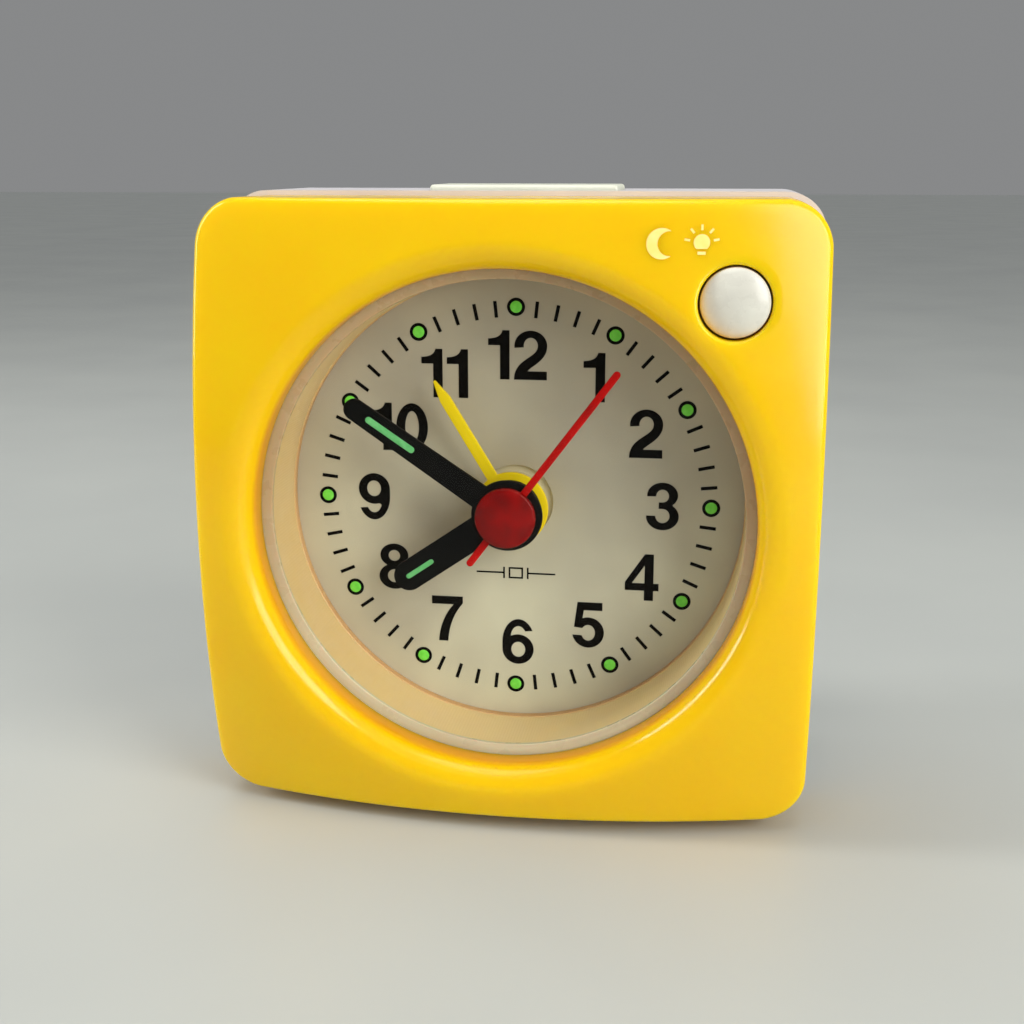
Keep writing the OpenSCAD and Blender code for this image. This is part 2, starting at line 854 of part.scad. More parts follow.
module hour_wheel() {
    color("white") on(C) difference() {
        union() {
            slab(hour_wheel_y, set_wheel_t) wheel_teeth(hour_n, hour_m);
            rod(hour_hand_y - 0.15, hour_wheel_y + eps, hour_tube_r);
        }
        rod(hour_hand_y - 1, hour_wheel_y + 2, cannon_r + run_gap);
    }
}

module alarm_wheel() {
    color("white") on(C) difference() {
        union() {
            slab(alarm_wheel_y, set_wheel_t) wheel_plate(alarm_n, alarm_m, 0.3, 0);
            rod(alarm_hand_y - 0.2, alarm_wheel_y + eps, alarm_tube_r);
        }
        rod(alarm_hand_y - 1, alarm_wheel_y + 2, hour_tube_r + run_gap);
    }
}

module rotor() {
    color("dimgray") on(M) {
        rod(stator_y - 0.1, stator_y + 1.2, 2);
        arbor_with_pinion(fifth_wheel_y - 0.1, 1.35, rotor_pinion_n, fifth_m, rotor_pinion_turn);
    }
}

module stator() {
    color("silver") {
        difference() {
            block([-core_half, stator_y, M[1] - 3.9], [12.5, stator_y + 0.8, coil_z + 1.4]);
            // Window for the coil
            block([-coil_half - 0.9, stator_y - 1, coil_z - 3.3], [coil_half + 0.9, stator_y + 2, coil_z + 5]);
            on(M) rod(stator_y - 1, stator_y + 2, 2.5);
            // Relief behind the rotor's pole
            block([-core_half + 3, stator_y - 1, M[1] - 5], [M[0] - 4, stator_y + 2, coil_z - 5]);
        }
        // Core bar through the coil
        block([-core_half + 0.8, stator_y + 0.1, coil_z - 0.9], [core_half - 0.8, stator_y + 0.7, coil_z + 0.9]);
    }
}

module coil_bobbin() {
    color("khaki") translate([0, coil_y, coil_z]) rotate([0, 90, 0]) difference() {
        union() {
            cylinder(h = 2 * coil_half, r = 1.5, center = true);
            for (s = [-1, 1]) translate([0, 0, s * (coil_half - 0.35)])
                cylinder(h = 0.7, r = 2.6, center = true);
        }
        cube([1.9, 0.7, 2 * coil_half + 2], center = true);
    }
}

module coil_winding() {
    color("peru") translate([0, coil_y, coil_z]) rotate([0, 90, 0]) difference() {
        cylinder(h = 2 * coil_half - 1.45, r = 2.3, center = true);
        cylinder(h = 2 * coil_half, r = 1.51, center = true);
    }
}

module circuit_board() {
    color("darkgreen") slab(board_y, board_t) difference() {
        union() {
            translate([-16, 36.4]) square([32, 17.6]);
            translate([15, 46]) square([9.5, 9]);
        }
        for (sx = [-1, 1]) translate([sx * mov_screw_x, mov_screw_zs[1]]) circle(r = 1.1);
    }
}

module chip_cover() {
    color("black") translate([-9, board_y + board_t + 0.1, 40.5]) intersection() {
        rod(-0.1, 0.9, 2.4);
        translate([0, -3.3, 0]) sphere(r = 4, $fn = 200);
    }
}

module timing_crystal() {
    color("silver") translate([-14.2, board_y + board_t + 1, 42]) cylinder(h = 6, r = 1);
}

module buzzer() {
    color("goldenrod") on([0, buzzer_z]) {
        rod(buzzer_y, buzzer_y + 0.3, buzzer_r);
        rod(buzzer_y + 0.3 - eps, buzzer_y + 0.5, buzzer_r - 2);
    }
}

module lamp() {
    on(lamp_p) {
        color("lightyellow") rod(dial_y - 3.5, dial_y, lamp_r);
        color("lightyellow") translate([0, dial_y - 3.5, 0]) sphere(r = lamp_r);
        color("silver") for (s = [-1, 1])
            translate([s * 0.7, 0, 0]) rod(dial_y - 0.1, board_y, 0.2);
    }
}

module alarm_contact_spring() {
    color("peru") {
        block([-16.6, -2.35, 33], [-14.6, 0.7, 33.3]);
        block([-16.6, 0.4, 33.2], [-14.6, 0.7, 45]);
        block([-15.9, 0.35, 44.7], [-15.3, 0.8, 45.3]);
    }
}

// ---- Power ----

module battery() {
    color("slategray") translate([cell_back_x, cell_y, cell_z]) rotate([0, 90, 0]) {
        cylinder(h = cell_l, r = cell_d / 2);
        cylinder(h = cell_l + nub_l, r = nub_r);
    }
}

module battery_contact_positive() {
    color("silver")
        block([cell_tip_x, cell_y - 4, cell_z - 4], [cell_tip_x + contact_t, cell_y + 5.4, cell_z + 6.6]);
}

module battery_spring_negative() {
    color("silver") {
        translate([cell_back_x - 0.3, cell_y, cell_z]) rotate([0, -90, 0])
            swept(coil_path(2, 4.4, spring_l - 0.35, 3), 0.3, 8);
        block(
            [cell_back_x - spring_l - contact_t, cell_y - 4, cell_z - 4],
            [cell_back_x - spring_l, cell_y + 5.4, cell_z + 6.6]
        );
    }
}

// Two leads from the battery contacts up to the circuit board
module battery_leads() {
    color("firebrick") for (sx = [-1, 1])
        swept([
            [sx > 0 ? cell_tip_x : cell_back_x - spring_l, 11, 17.4], [sx * 23.4, 11, 17.5], [sx * 22.5, 11, 18.2], [sx * 22.4, 11, 19.5],
            [sx * 22.4, 11.2, 28], [sx * 22.2, 11.5, 35], [sx * 21, 11.6, 37.2], [sx * 18, 11.6, 38],
            [sx * 15.4, 11.45, 38.2], [sx * 14.2, 11.4, 38.2]
        ], 0.4, 8);
}

front_bezel();
rear_case();
battery_door();
case_screws();
crystal();
dial_ring();
dial();
second_hand();
minute_hand();
hour_hand();
alarm_hand();
snooze_button();
snooze_switch();
alarm_bar();
alarm_bar_spring();
time_set_knob();
time_set_shaft();
alarm_set_knob();
alarm_set_shaft();
movement_front_plate();
movement_centre_plate();
movement_rear_cover();
movement_screws();
second_wheel();
fifth_wheel();
third_wheel();
centre_wheel();
cannon_pinion();
motion_wheel();
hour_wheel();
alarm_wheel();
rotor();
stator();
coil_bobbin();
coil_winding();
circuit_board();
chip_cover();
timing_crystal();
buzzer();
lamp();
alarm_contact_spring();
battery();
battery_contact_positive();
battery_spring_negative();
battery_leads();
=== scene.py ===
"""Looks of a small square alarm clock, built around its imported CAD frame.

Sizes are in millimetres until a piece is finished; piece() turns them into metres.
"""

import json
import math

import bmesh
import bpy
from mathutils import Matrix, Vector


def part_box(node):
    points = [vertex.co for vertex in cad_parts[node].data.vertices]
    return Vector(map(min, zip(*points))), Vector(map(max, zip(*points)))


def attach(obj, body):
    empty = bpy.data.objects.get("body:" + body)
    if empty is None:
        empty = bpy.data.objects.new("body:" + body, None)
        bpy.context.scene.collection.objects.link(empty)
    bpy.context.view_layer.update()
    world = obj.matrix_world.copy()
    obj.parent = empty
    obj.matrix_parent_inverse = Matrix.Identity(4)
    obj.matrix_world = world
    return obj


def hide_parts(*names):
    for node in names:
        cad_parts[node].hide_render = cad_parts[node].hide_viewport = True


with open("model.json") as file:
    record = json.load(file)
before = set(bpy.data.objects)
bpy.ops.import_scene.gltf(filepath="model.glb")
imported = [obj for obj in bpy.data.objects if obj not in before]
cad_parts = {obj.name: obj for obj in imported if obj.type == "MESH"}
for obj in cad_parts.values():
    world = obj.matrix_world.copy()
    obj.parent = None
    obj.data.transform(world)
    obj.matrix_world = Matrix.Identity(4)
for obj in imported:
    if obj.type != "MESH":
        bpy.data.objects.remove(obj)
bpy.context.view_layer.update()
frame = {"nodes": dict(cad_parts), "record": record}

MM = 0.001
UP_TO_Y = Matrix.Rotation(-math.pi / 2, 4, "X")     # turns a height along Z into a depth along Y
PRINT_UP = Matrix.Rotation(math.pi / 2, 4, "X")     # stands a flat drawing up, facing -Y


# ---- Sizes ----


def box_mm(node):
    """Lowest and highest corner of a CAD node, in millimetres."""
    low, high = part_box(node)
    return low / MM, high / MM


bezel_low, bezel_high = box_mm("front_bezel")
rear_high = box_mm("rear_case")[1]
dial_low, dial_high = box_mm("dial")
crystal_y = box_mm("crystal")[0].y
ring_y = box_mm("dial_ring")[0].y
button_low, button_high = box_mm("snooze_button")
second_low, second_high = box_mm("second_hand")

# Case
FOOT_H = 1.3
CORNER_R = 4.4
DOME_R = 108.0
DOME_WALL = 1.8
WALL = 1.6
LIP_R = 2.4
EDGE_ROUND = 0.5
SEAM_Y = -2.0
SEAM_ROUND = 0.12
REAR_CORNER_R = 4.0
REAR_ROUND = 1.5
OPENING_ROUND = 0.15
FOOT_R = 2.5
FOOT_SUNK = 0.3             # how far a foot reaches up into the shell
FOOT_X = 20.0
FRONT_FOOT_Y = -6.5

case_w = bezel_high.x - bezel_low.x
case_h = bezel_high.z - FOOT_H
bezel_mid_z = (bezel_high.z + FOOT_H) / 2
rear_h = rear_high.z - FOOT_H
rear_mid_z = (rear_high.z + FOOT_H) / 2
rear_back_y = rear_high.y

# Dial, crystal and opening
CRYSTAL_T = 1.1
CRYSTAL_STEP = 0.8          # from the crystal's face back to its flange
FLANGE_W = 0.6              # how far the crystal's flange reaches past the opening
FLANGE_PLAY = 0.1           # between the flange and the frame round it
FRAME_WALL = 1.2            # from the flange out to the frame's outer wall
DOTS_R = 19.7               # radius of the circle of hour dots
DIAL_HOLE_R = 3.8
RING_IN_R = 23.1
LEDGE_H = 0.9               # ledge at the foot of the light ring
LEDGE_W = 0.12

dial_z = (dial_low.z + dial_high.z) / 2
dial_y = dial_low.y
dial_back_y = dial_high.y
flange_r = (dial_high.z - dial_low.z) / 2
opening_r = flange_r - FLANGE_W
frame_r = flange_r + FRAME_WALL
crest_r = opening_r + LIP_R
dome_mid_y = bezel_low.y + math.sqrt(DOME_R**2 - crest_r**2)
lip_mid_y = dome_mid_y - math.sqrt((DOME_R - LIP_R) ** 2 - crest_r**2)
lip_turn = math.asin(crest_r / (DOME_R - LIP_R))        # slope of the dome where the lip meets it
lip_end_r = crest_r + LIP_R * math.sin(lip_turn)
flange_y = crystal_y + CRYSTAL_STEP

# Front button
BUTTON_R = 3.13
BUTTON_HOLE_R = 3.33
BUTTON_EDGE = 0.3
BUTTON_FLANGE_R = 3.83
BUTTON_FLANGE_Y = -11.2
BUTTON_FLANGE_T = 0.7
STEM_R = 1.2
PLUNGER_R = 0.9
button_x = (button_low.x + button_high.x) / 2
button_z = (button_low.z + button_high.z) / 2

# Hands
HOUR_SHOWN = 7.845          # in hours
MINUTE_SHOWN = 50.65        # in minutes
SECOND_SHOWN = 6.13         # in seconds
ALARM_SHOWN = 10.955        # in hours
HAND_T = 0.5
MINUTE_HUB_R = 3.52
MINUTE_BORE_R = 0.9
HOUR_HUB_R = 3.1
HOUR_BORE_R = 1.5
ALARM_HUB_R = 3.7
ALARM_BORE_R = 2.1
CAP_R = 2.97
CAP_DOME_R = 14.0


# ---- Shared shapes ----


def arc(mid, radii, start, end, steps):
    """Points on an ellipse from one angle to another, in degrees."""
    return [
        (
            mid[0] + radii[0] * math.cos(math.radians(start + (end - start) * i / steps)),
            mid[1] + radii[1] * math.sin(math.radians(start + (end - start) * i / steps)),
        )
        for i in range(steps + 1)
    ]


def bend(a, b, c, d):
    """Points on a cubic curve from a to d, with handles b and c."""
    steps = 10
    points = []
    for i in range(steps + 1):
        t = i / steps
        weights = ((1 - t) ** 3, 3 * t * (1 - t) ** 2, 3 * t * t * (1 - t), t**3)
        points.append(tuple(sum(w * p[k] for w, p in zip(weights, (a, b, c, d))) for k in (0, 1)))
    return points


def circle(mid, radius, steps=48):
    """Points all the way round a circle."""
    return arc(mid, (radius, radius), 0, 360 - 360 / steps, steps - 1)


def strip(bm, rows, wrap=False, skip=None):
    """Faces between rows of vertices that run round in rings. A row of one vertex is a pole."""
    for number, (a, b) in enumerate(zip(rows, rows[1:] + (rows[:1] if wrap else []))):
        count = max(len(a), len(b))
        for i in range(count):
            if skip and skip(number, i):
                continue
            k = (i + 1) % count
            if len(a) == 1:
                corners = (a[0], b[k], b[i])
            elif len(b) == 1:
                corners = (a[i], a[k], b[0])
            else:
                corners = (a[i], a[k], b[k], b[i])
            bm.faces.new(corners)


def add_rows(bm, rings):
    """A row of vertices for each ring of points."""
    return [[bm.verts.new(point) for point in ring] for ring in rings]


def soften(profile, radius, wrap=False):
    """A profile with its corners rounded to about the radius."""
    steps = 4
    made = []
    last = len(profile) - 1
    for i, corner in enumerate(profile):
        if not wrap and i in (0, last):
            made.append(corner)
            continue
        here = Vector(corner)
        before = Vector(profile[i - 1]) - here
        after = Vector(profile[(i + 1) % len(profile)]) - here
        reach = min(radius, before.length * 0.45, after.length * 0.45)
        start = here + before.normalized() * reach
        end = here + after.normalized() * reach
        for k in range(steps + 1):
            t = k / steps
            made.append(tuple((1 - t) ** 2 * start + 2 * t * (1 - t) * here + t * t * end))
    return made


def lathe(profile, place, steps, wrap=False, ribs=0, rib_depth=0.0):
    """A profile of (radius, height) turned round Z and put in place."""
    bm = bmesh.new()
    rings = []
    for radius, height in profile:
        if radius < 1e-6:
            rings.append([(0, 0, height)])
            continue
        ring = []
        for i in range(steps):
            angle = math.tau * i / steps
            r = radius + rib_depth * math.cos(ribs * angle)
            ring.append((r * math.sin(angle), r * math.cos(angle), height))
        rings.append(ring)
    strip(bm, add_rows(bm, rings), wrap)
    bm.transform(place)
    return bm


def along_y(x, z):
    """Puts a turned shape on an axis that runs front to back."""
    return Matrix.Translation((x, 0, z)) @ UP_TO_Y


def plate(loops, y_front, thickness, edge=0.0):
    """A plate filled between closed outlines of (right, up), with rounded edges."""
    curve = bpy.data.curves.new("outline", "CURVE")
    curve.dimensions = "2D"
    curve.fill_mode = "BOTH"
    curve.extrude = thickness / 2 - edge
    curve.bevel_depth = edge
    curve.bevel_resolution = 2
    curve.offset = -edge
    for loop in loops:
        spline = curve.splines.new("POLY")
        spline.points.add(len(loop) - 1)
        spline.use_cyclic_u = True
        for point, (right, up) in zip(spline.points, loop):
            point.co = (right, up, 0, 1)
    holder = bpy.data.objects.new("outline", curve)
    bpy.context.scene.collection.objects.link(holder)
    graph = bpy.context.evaluated_depsgraph_get()
    mesh = bpy.data.meshes.new_from_object(holder.evaluated_get(graph))
    bm = bmesh.new()
    bm.from_mesh(mesh)
    bpy.data.objects.remove(holder)
    bpy.data.curves.remove(curve)
    bpy.data.meshes.remove(mesh)
    bm.transform(Matrix.Translation((0, y_front + thickness / 2, 0)) @ PRINT_UP)
    bmesh.ops.remove_doubles(bm, verts=bm.verts, dist=1e-4)
    return bm


def merge(parts):
    """One mesh from several, which are used up."""
    whole = bmesh.new()
    for part in parts:
        mesh = bpy.data.meshes.new("part")
        part.to_mesh(mesh)
        part.free()
        whole.from_mesh(mesh)
        bpy.data.meshes.remove(mesh)
    return whole


def from_cad(node):
    """A copy of a CAD node's mesh in millimetres, with its flat faces whole."""
    bm = bmesh.new()
    bm.from_mesh(frame["nodes"][node].data)
    bm.transform(Matrix.Scale(1 / MM, 4))
    bmesh.ops.remove_doubles(bm, verts=bm.verts, dist=1e-3)
    bmesh.ops.dissolve_limit(
        bm, angle_limit=math.radians(0.5), verts=bm.verts, edges=bm.edges
    )
    return bm


def round_edges(bm, width, chosen, segments):
    """Rounds the sharp edges that chosen(edge) picks."""
    least = math.radians(30)
    edges = [e for e in bm.edges if e.is_manifold and e.calc_face_angle(0) > least and chosen(e)]
    bmesh.ops.bevel(
        bm,
        geom=edges,
        offset=width,
        offset_type="OFFSET",
        segments=segments,
        profile=0.5,
        affect="EDGES",
        clamp_overlap=False,
    )
    return bm


def piece(name, bm, body, material, stands_for=(), sharp=40, even=False):
    """Finishes a mesh as a piece that rides on a body. even=True keeps its flat faces flat."""
    bmesh.ops.recalc_face_normals(bm, faces=bm.faces)
    for face in bm.faces:
        face.smooth = True
    for edge in bm.edges:
        edge.smooth = edge.is_manifold and edge.calc_face_angle(0) < math.radians(sharp)
    bm.transform(Matrix.Scale(MM, 4))
    mesh = bpy.data.meshes.new(name)
    bm.to_mesh(mesh)
    bm.free()
    mesh.materials.append(material)
    thing = bpy.data.objects.new(name, mesh)
    bpy.context.scene.collection.objects.link(thing)
    if even:
        weighted = thing.modifiers.new("even_normals", "WEIGHTED_NORMAL")
        weighted.keep_sharp = True
    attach(thing, body)
    if stands_for:
        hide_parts(*stands_for)


# ---- Materials ----


def rgb(red, green, blue):
    """A colour given in 0-255 screen values."""

    def linear(value):
        value /= 255
        return value / 12.92 if value <= 0.04045 else ((value + 0.055) / 1.055) ** 2.4

    return (linear(red), linear(green), linear(blue), 1.0)


class Surface:
    """A Principled material whose colour, gloss and relief vary over the surface."""

    def __init__(self, name, **sockets):
        self.material = bpy.data.materials.new(name)
        self.material.use_nodes = True
        self.nodes = self.material.node_tree.nodes
        self.links = self.material.node_tree.links
        self.shader = self.nodes["Principled BSDF"]
        self.place = self.nodes.new("ShaderNodeTexCoord").outputs["Object"]
        for socket, value in sockets.items():
            self.shader.inputs[socket.replace("_", " ")].default_value = value

    def noise(self, size, detail=3.0, stretch=None):
        """Noise with features of about the given size in millimetres."""
        texture = self.nodes.new("ShaderNodeTexNoise")
        texture.inputs["Scale"].default_value = 1 / (size * MM)
        texture.inputs["Detail"].default_value = detail
        place = self.place
        if stretch:
            mapping = self.nodes.new("ShaderNodeMapping")
            mapping.inputs["Scale"].default_value = stretch
            self.links.new(place, mapping.inputs["Vector"])
            place = mapping.outputs["Vector"]
        self.links.new(place, texture.inputs["Vector"])
        return texture.outputs["Fac"]

    def spread(self, value, low, high, from_low=0.3, from_high=0.7):
        """The value rescaled to run from low to high."""
        node = self.nodes.new("ShaderNodeMapRange")
        node.inputs["From Min"].default_value = from_low
        node.inputs["From Max"].default_value = from_high
        node.inputs["To Min"].default_value = low
        node.inputs["To Max"].default_value = high
        self.links.new(value, node.inputs["Value"])
        return node.outputs["Result"]

    def blend(self, factor, first, second):
        """A mix of two colours, each a value or an output."""
        node = self.nodes.new("ShaderNodeMix")
        node.data_type = "RGBA"
        self.links.new(factor, node.inputs["Factor"])
        for socket, colour in ((node.inputs[6], first), (node.inputs[7], second)):
            if isinstance(colour, bpy.types.NodeSocket):
                self.links.new(colour, socket)
            else:
                socket.default_value = colour
        return node.outputs[2]

    def colour(self, output):
        """The surface's colour, from an output."""
        self.links.new(output, self.shader.inputs["Base Color"])

    def clouds(self, size, high=1.0, detail=3.0, stretch=None):
        """Noise spread from 0 to a highest value, to blend colours by."""
        return self.spread(self.noise(size, detail, stretch), 0, high)

    def gloss(self, low, high, size):
        """Roughness that drifts between two values over a size in millimetres."""
        rough = self.spread(self.noise(size), low, high)
        self.links.new(rough, self.shader.inputs["Roughness"])

    def relief(self, size, depth, stretch=None):
        """Bumps of a size and depth in millimetres."""
        bump = self.nodes.new("ShaderNodeBump")
        bump.inputs["Strength"].default_value = 0.5
        bump.inputs["Distance"].default_value = depth * MM
        self.links.new(self.noise(size, 2.0, stretch), bump.inputs["Height"])
        self.links.new(bump.outputs["Normal"], self.shader.inputs["Normal"])

    def height(self, axis, low, high):
        """0 to 1 along an axis between two places in millimetres."""
        split = self.nodes.new("ShaderNodeSeparateXYZ")
        self.links.new(self.place, split.inputs["Vector"])
        return self.spread(split.outputs[axis], 0, 1, low * MM, high * MM)

    def reach(self, low, high):
        """0 to 1 between two distances, in millimetres, from the dial's axis."""
        flat = self.nodes.new("ShaderNodeMapping")
        flat.inputs["Location"].default_value = (0, 0, -dial_z * MM)
        flat.inputs["Scale"].default_value = (1, 0, 1)
        self.links.new(self.place, flat.inputs["Vector"])
        length = self.nodes.new("ShaderNodeVectorMath")
        length.operation = "LENGTH"
        self.links.new(flat.outputs["Vector"], length.inputs[0])
        return self.spread(length.outputs["Value"], 0, 1, low * MM, high * MM)


def moulded(name, light, dark, gloss, grain=0.35, depth=0.004, cloud=9, **sockets):
    """Moulded plastic or paint: a clouded colour, uneven gloss and a fine grain."""
    surface = Surface(name, **sockets)
    surface.colour(surface.blend(surface.clouds(cloud), light, dark))
    surface.gloss(gloss[0], gloss[1], cloud / 3)
    surface.relief(grain, depth)
    return surface.material


def metal(name, light, dark, gloss=(0.2, 0.35), stretch=(1, 1, 14)):
    """Metal with fine drawn lines."""
    surface = Surface(name, Metallic=1.0)
    lines = surface.clouds(1.5, detail=4.0, stretch=stretch)
    surface.colour(surface.blend(lines, light, dark))
    surface.gloss(gloss[0], gloss[1], 2)
    surface.relief(0.8, 0.006, stretch)
    return surface.material


def clear_lens():
    """Clear plastic: what lies behind shows through, with a clear reflection on top."""
    material = bpy.data.materials.new("clear_lens")
    material.use_nodes = True
    nodes, links = material.node_tree.nodes, material.node_tree.links
    nodes.remove(nodes["Principled BSDF"])
    through = nodes.new("ShaderNodeBsdfTransparent")
    through.inputs["Color"].default_value = (0.985, 0.985, 0.975, 1)
    gleam = nodes.new("ShaderNodeBsdfGlossy")
    gleam.inputs["Roughness"].default_value = 0.03
    fresnel = nodes.new("ShaderNodeFresnel")
    fresnel.inputs["IOR"].default_value = 1.18
    geometry = nodes.new("ShaderNodeNewGeometry")
    outer_only = nodes.new("ShaderNodeMath")
    outer_only.operation = "MULTIPLY_ADD"
    outer_only.inputs[1].default_value = -1.0
    links.new(geometry.outputs["Backfacing"], outer_only.inputs[0])
    links.new(fresnel.outputs["Fac"], outer_only.inputs[2])
    outer_only.use_clamp = True
    mixed = nodes.new("ShaderNodeMixShader")
    links.new(outer_only.outputs["Value"], mixed.inputs["Fac"])
    links.new(through.outputs["BSDF"], mixed.inputs[1])
    links.new(gleam.outputs["BSDF"], mixed.inputs[2])
    links.new(mixed.outputs["Shader"], nodes["Material Output"].inputs["Surface"])
    return material


def shell_material():
    """Glossy yellow that deepens to amber at the edge of the opening, as painted shade on the
    opening's inner wall.
    """
    surface = Surface(
        "yellow_shell", Specular_IOR_Level=0.34, Subsurface_Weight=0.9,
        Subsurface_Scale=0.003, Subsurface_Radius=(1.0, 0.9, 0.1),
    )
    # Painted shade: amber on the opening's inner wall, fading out 0.22 mm onto the lip.
    painted_shade_w = 0.22
    yellow = surface.blend(surface.clouds(14), rgb(255, 199, 2), rgb(254, 192, 1))
    past_painted_shade = surface.reach(opening_r, opening_r + painted_shade_w)
    surface.colour(surface.blend(past_painted_shade, rgb(224, 156, 3), yellow))
    surface.gloss(0.13, 0.2, 5)
    surface.relief(0.5, 0.003)
    return surface.material


YELLOW = shell_material()
REAR = moulded("rear_shell", rgb(214, 211, 214), rgb(204, 201, 206), (0.42, 0.55), 0.25, 0.02, 10)
BAR = moulded("pale_bar", rgb(226, 228, 212), rgb(216, 220, 202), (0.35, 0.5), 0.3, 0.01)
WHITE = moulded(
    "white_button", rgb(218, 217, 206), rgb(206, 204, 194), (0.22, 0.36), 0.4, 0.004, 3,
    Coat_Weight=0.2, Coat_Roughness=0.1,
)
KNOB = moulded("white_knob", rgb(232, 230, 224), rgb(222, 220, 214), (0.35, 0.5), 0.3, 0.01)
BLACK = moulded(
    "black_hand", rgb(11, 10, 9), rgb(5, 5, 4), (0.35, 0.5), 0.25, 0.006, 3,
    Specular_IOR_Level=0.1,
)
ALARM_YELLOW = moulded(
    "yellow_hand", rgb(250, 226, 16), rgb(240, 210, 10), (0.4, 0.55), 0.3, 0.006,
    Specular_IOR_Level=0.2,
)
RED = moulded(
    "red_hand", rgb(196, 10, 6), rgb(160, 6, 4), (0.3, 0.42), 0.3, 0.006, 2.5,
    Specular_IOR_Level=0.12,
)
RED_CAP = moulded(
    "red_cap", rgb(146, 5, 4), rgb(108, 4, 3), (0.14, 0.3), 0.6, 0.02, 1.4,
    Specular_IOR_Level=0.18,
)
INK = moulded(
    "black_ink", rgb(14, 12, 9), rgb(5, 4, 3), (0.5, 0.65), 0.2, 0.003, 1.2,
    Specular_IOR_Level=0.05,
)
LUME = moulded("green_lume", rgb(132, 240, 84), rgb(106, 224, 66), (0.5, 0.7), 0.12, 0.02, 0.5)
STRIP_LUME = moulded(
    "strip_lume", rgb(120, 208, 134), rgb(88, 186, 106), (0.5, 0.7), 0.12, 0.02, 0.6
)
CREAM = moulded("cream_ink", rgb(255, 232, 142), rgb(252, 222, 112), (0.4, 0.6), 0.2, 0.003, 1.5)
LENS = clear_lens()


def rim_material():
    """The crystal's frosted rim with fine turned lines, grey low down and browner above, where the
    brown is painted shade.
    """
    surface = Surface("lens_rim", Subsurface_Weight=0.3, Subsurface_Scale=0.001)
    lines = surface.clouds(0.5, 0.4, 2.0, (0.05, 6, 0.05))
    # Painted shade: the rim darkens and browns towards the top, where the bezel shades it.
    painted_shade_rise = surface.height("Z", dial_z - 14, dial_z + 2)
    tone_and_painted_shade = surface.blend(painted_shade_rise, rgb(210, 203, 174), rgb(186, 160, 118))
    surface.colour(surface.blend(lines, tone_and_painted_shade, rgb(178, 160, 128)))
    surface.gloss(0.2, 0.4, 2)
    surface.relief(0.4, 0.01)
    return surface.material


def ring_material():
    """Translucent light ring, deeper in colour on the left as painted shade and lighter on the right
    as painted light, with painted shade in brown at its foot.
    """
    surface = Surface(
        "frosted_ring", Subsurface_Weight=0.35, Subsurface_Scale=0.002,
        Subsurface_Radius=(1.0, 0.7, 0.4),
    )
    # Painted light and shade: darker on the left, lighter on the right.
    painted_light_and_shade = surface.blend(surface.height("X", -24, 24), rgb(212, 182, 122), rgb(250, 226, 164))
    mottle_and_painted_light = surface.blend(surface.clouds(5, 0.35), painted_light_and_shade, rgb(222, 196, 156))
    # Painted shade: brown over the deepest part of the ring, at the ledge by the dial.
    painted_ledge_shade = surface.height("Y", dial_y - LEDGE_H - 0.15, dial_y - LEDGE_H + 0.05)
    surface.colour(surface.blend(painted_ledge_shade, mottle_and_painted_light, rgb(206, 160, 108)))
    surface.gloss(0.3, 0.5, 4)
    surface.relief(0.5, 0.008)
    return surface.material


def dial_material():
    """Pearly silver dial with soft clouds, and painted shade that darkens it towards the top."""
    surface = Surface("dial_silver", Metallic=0.1)
    # Painted shade: lighter at the bottom, darker towards the top, where the bezel shades the dial.
    silver = surface.blend(
        surface.height("Z", dial_z - 22, dial_z + 22), rgb(226, 227, 204), rgb(196, 188, 166)
    )
    surface.colour(surface.blend(surface.clouds(14, 0.6, 2.0), silver, rgb(156, 150, 140)))
    surface.gloss(0.38, 0.52, 7)
    surface.relief(0.12, 0.004)
    return surface.material


RIM = rim_material()
RING = ring_material()
DIAL = dial_material()

METALS = {
    "screw_steel": (rgb(196, 198, 200), rgb(150, 152, 156)),
    "spring_steel": (rgb(206, 208, 210), rgb(160, 162, 168), (0.15, 0.3)),
    "stator_iron": (rgb(150, 150, 150), rgb(112, 112, 114), (0.35, 0.5), (14, 1, 1)),
    "can_metal": (rgb(214, 214, 212), rgb(176, 176, 178), (0.15, 0.25)),
    "buzzer_brass": (rgb(214, 176, 96), rgb(184, 142, 70), (0.25, 0.4), (1, 1, 1)),
    "contact_brass": (rgb(216, 160, 92), rgb(182, 126, 70), (0.25, 0.4)),
    "copper_wire": (rgb(206, 112, 62), rgb(150, 70, 36), (0.25, 0.4), (40, 1, 1)),
}
PLASTICS = {
    "dark_plastic": (rgb(62, 62, 66), rgb(46, 46, 50), (0.4, 0.55)),
    "movement_plastic": (rgb(226, 218, 186), rgb(212, 204, 172), (0.4, 0.55)),
    "wheel_plastic": (rgb(244, 242, 234), rgb(230, 228, 220), (0.35, 0.5), 0.35, 0.004, 4),
    "rotor_magnet": (rgb(70, 68, 70), rgb(50, 48, 50), (0.3, 0.5), 0.35, 0.004, 2),
    "bobbin_plastic": (rgb(206, 190, 140), rgb(190, 172, 120), (0.4, 0.55)),
    "board_green": (rgb(30, 96, 52), rgb(20, 76, 40), (0.3, 0.5), 0.2, 0.01, 3),
    "chip_black": (rgb(24, 24, 26), rgb(14, 14, 16), (0.2, 0.35), 0.35, 0.004, 2),
    "cell_jacket": (rgb(70, 86, 104), rgb(56, 70, 88), (0.22, 0.35)),
    "lead_jacket": (rgb(170, 30, 30), rgb(140, 20, 20), (0.35, 0.5), 0.35, 0.004, 3),
}
CAD_FINISHES = {name: metal(name, *look) for name, look in METALS.items()}
CAD_FINISHES |= {name: moulded(name, *look) for name, look in PLASTICS.items()}
CAD_FINISHES["lamp_clear"] = moulded(
    "lamp_clear", rgb(250, 244, 216), rgb(240, 230, 190), (0.08, 0.16), Transmission_Weight=0.6
)


# ---- Case ----


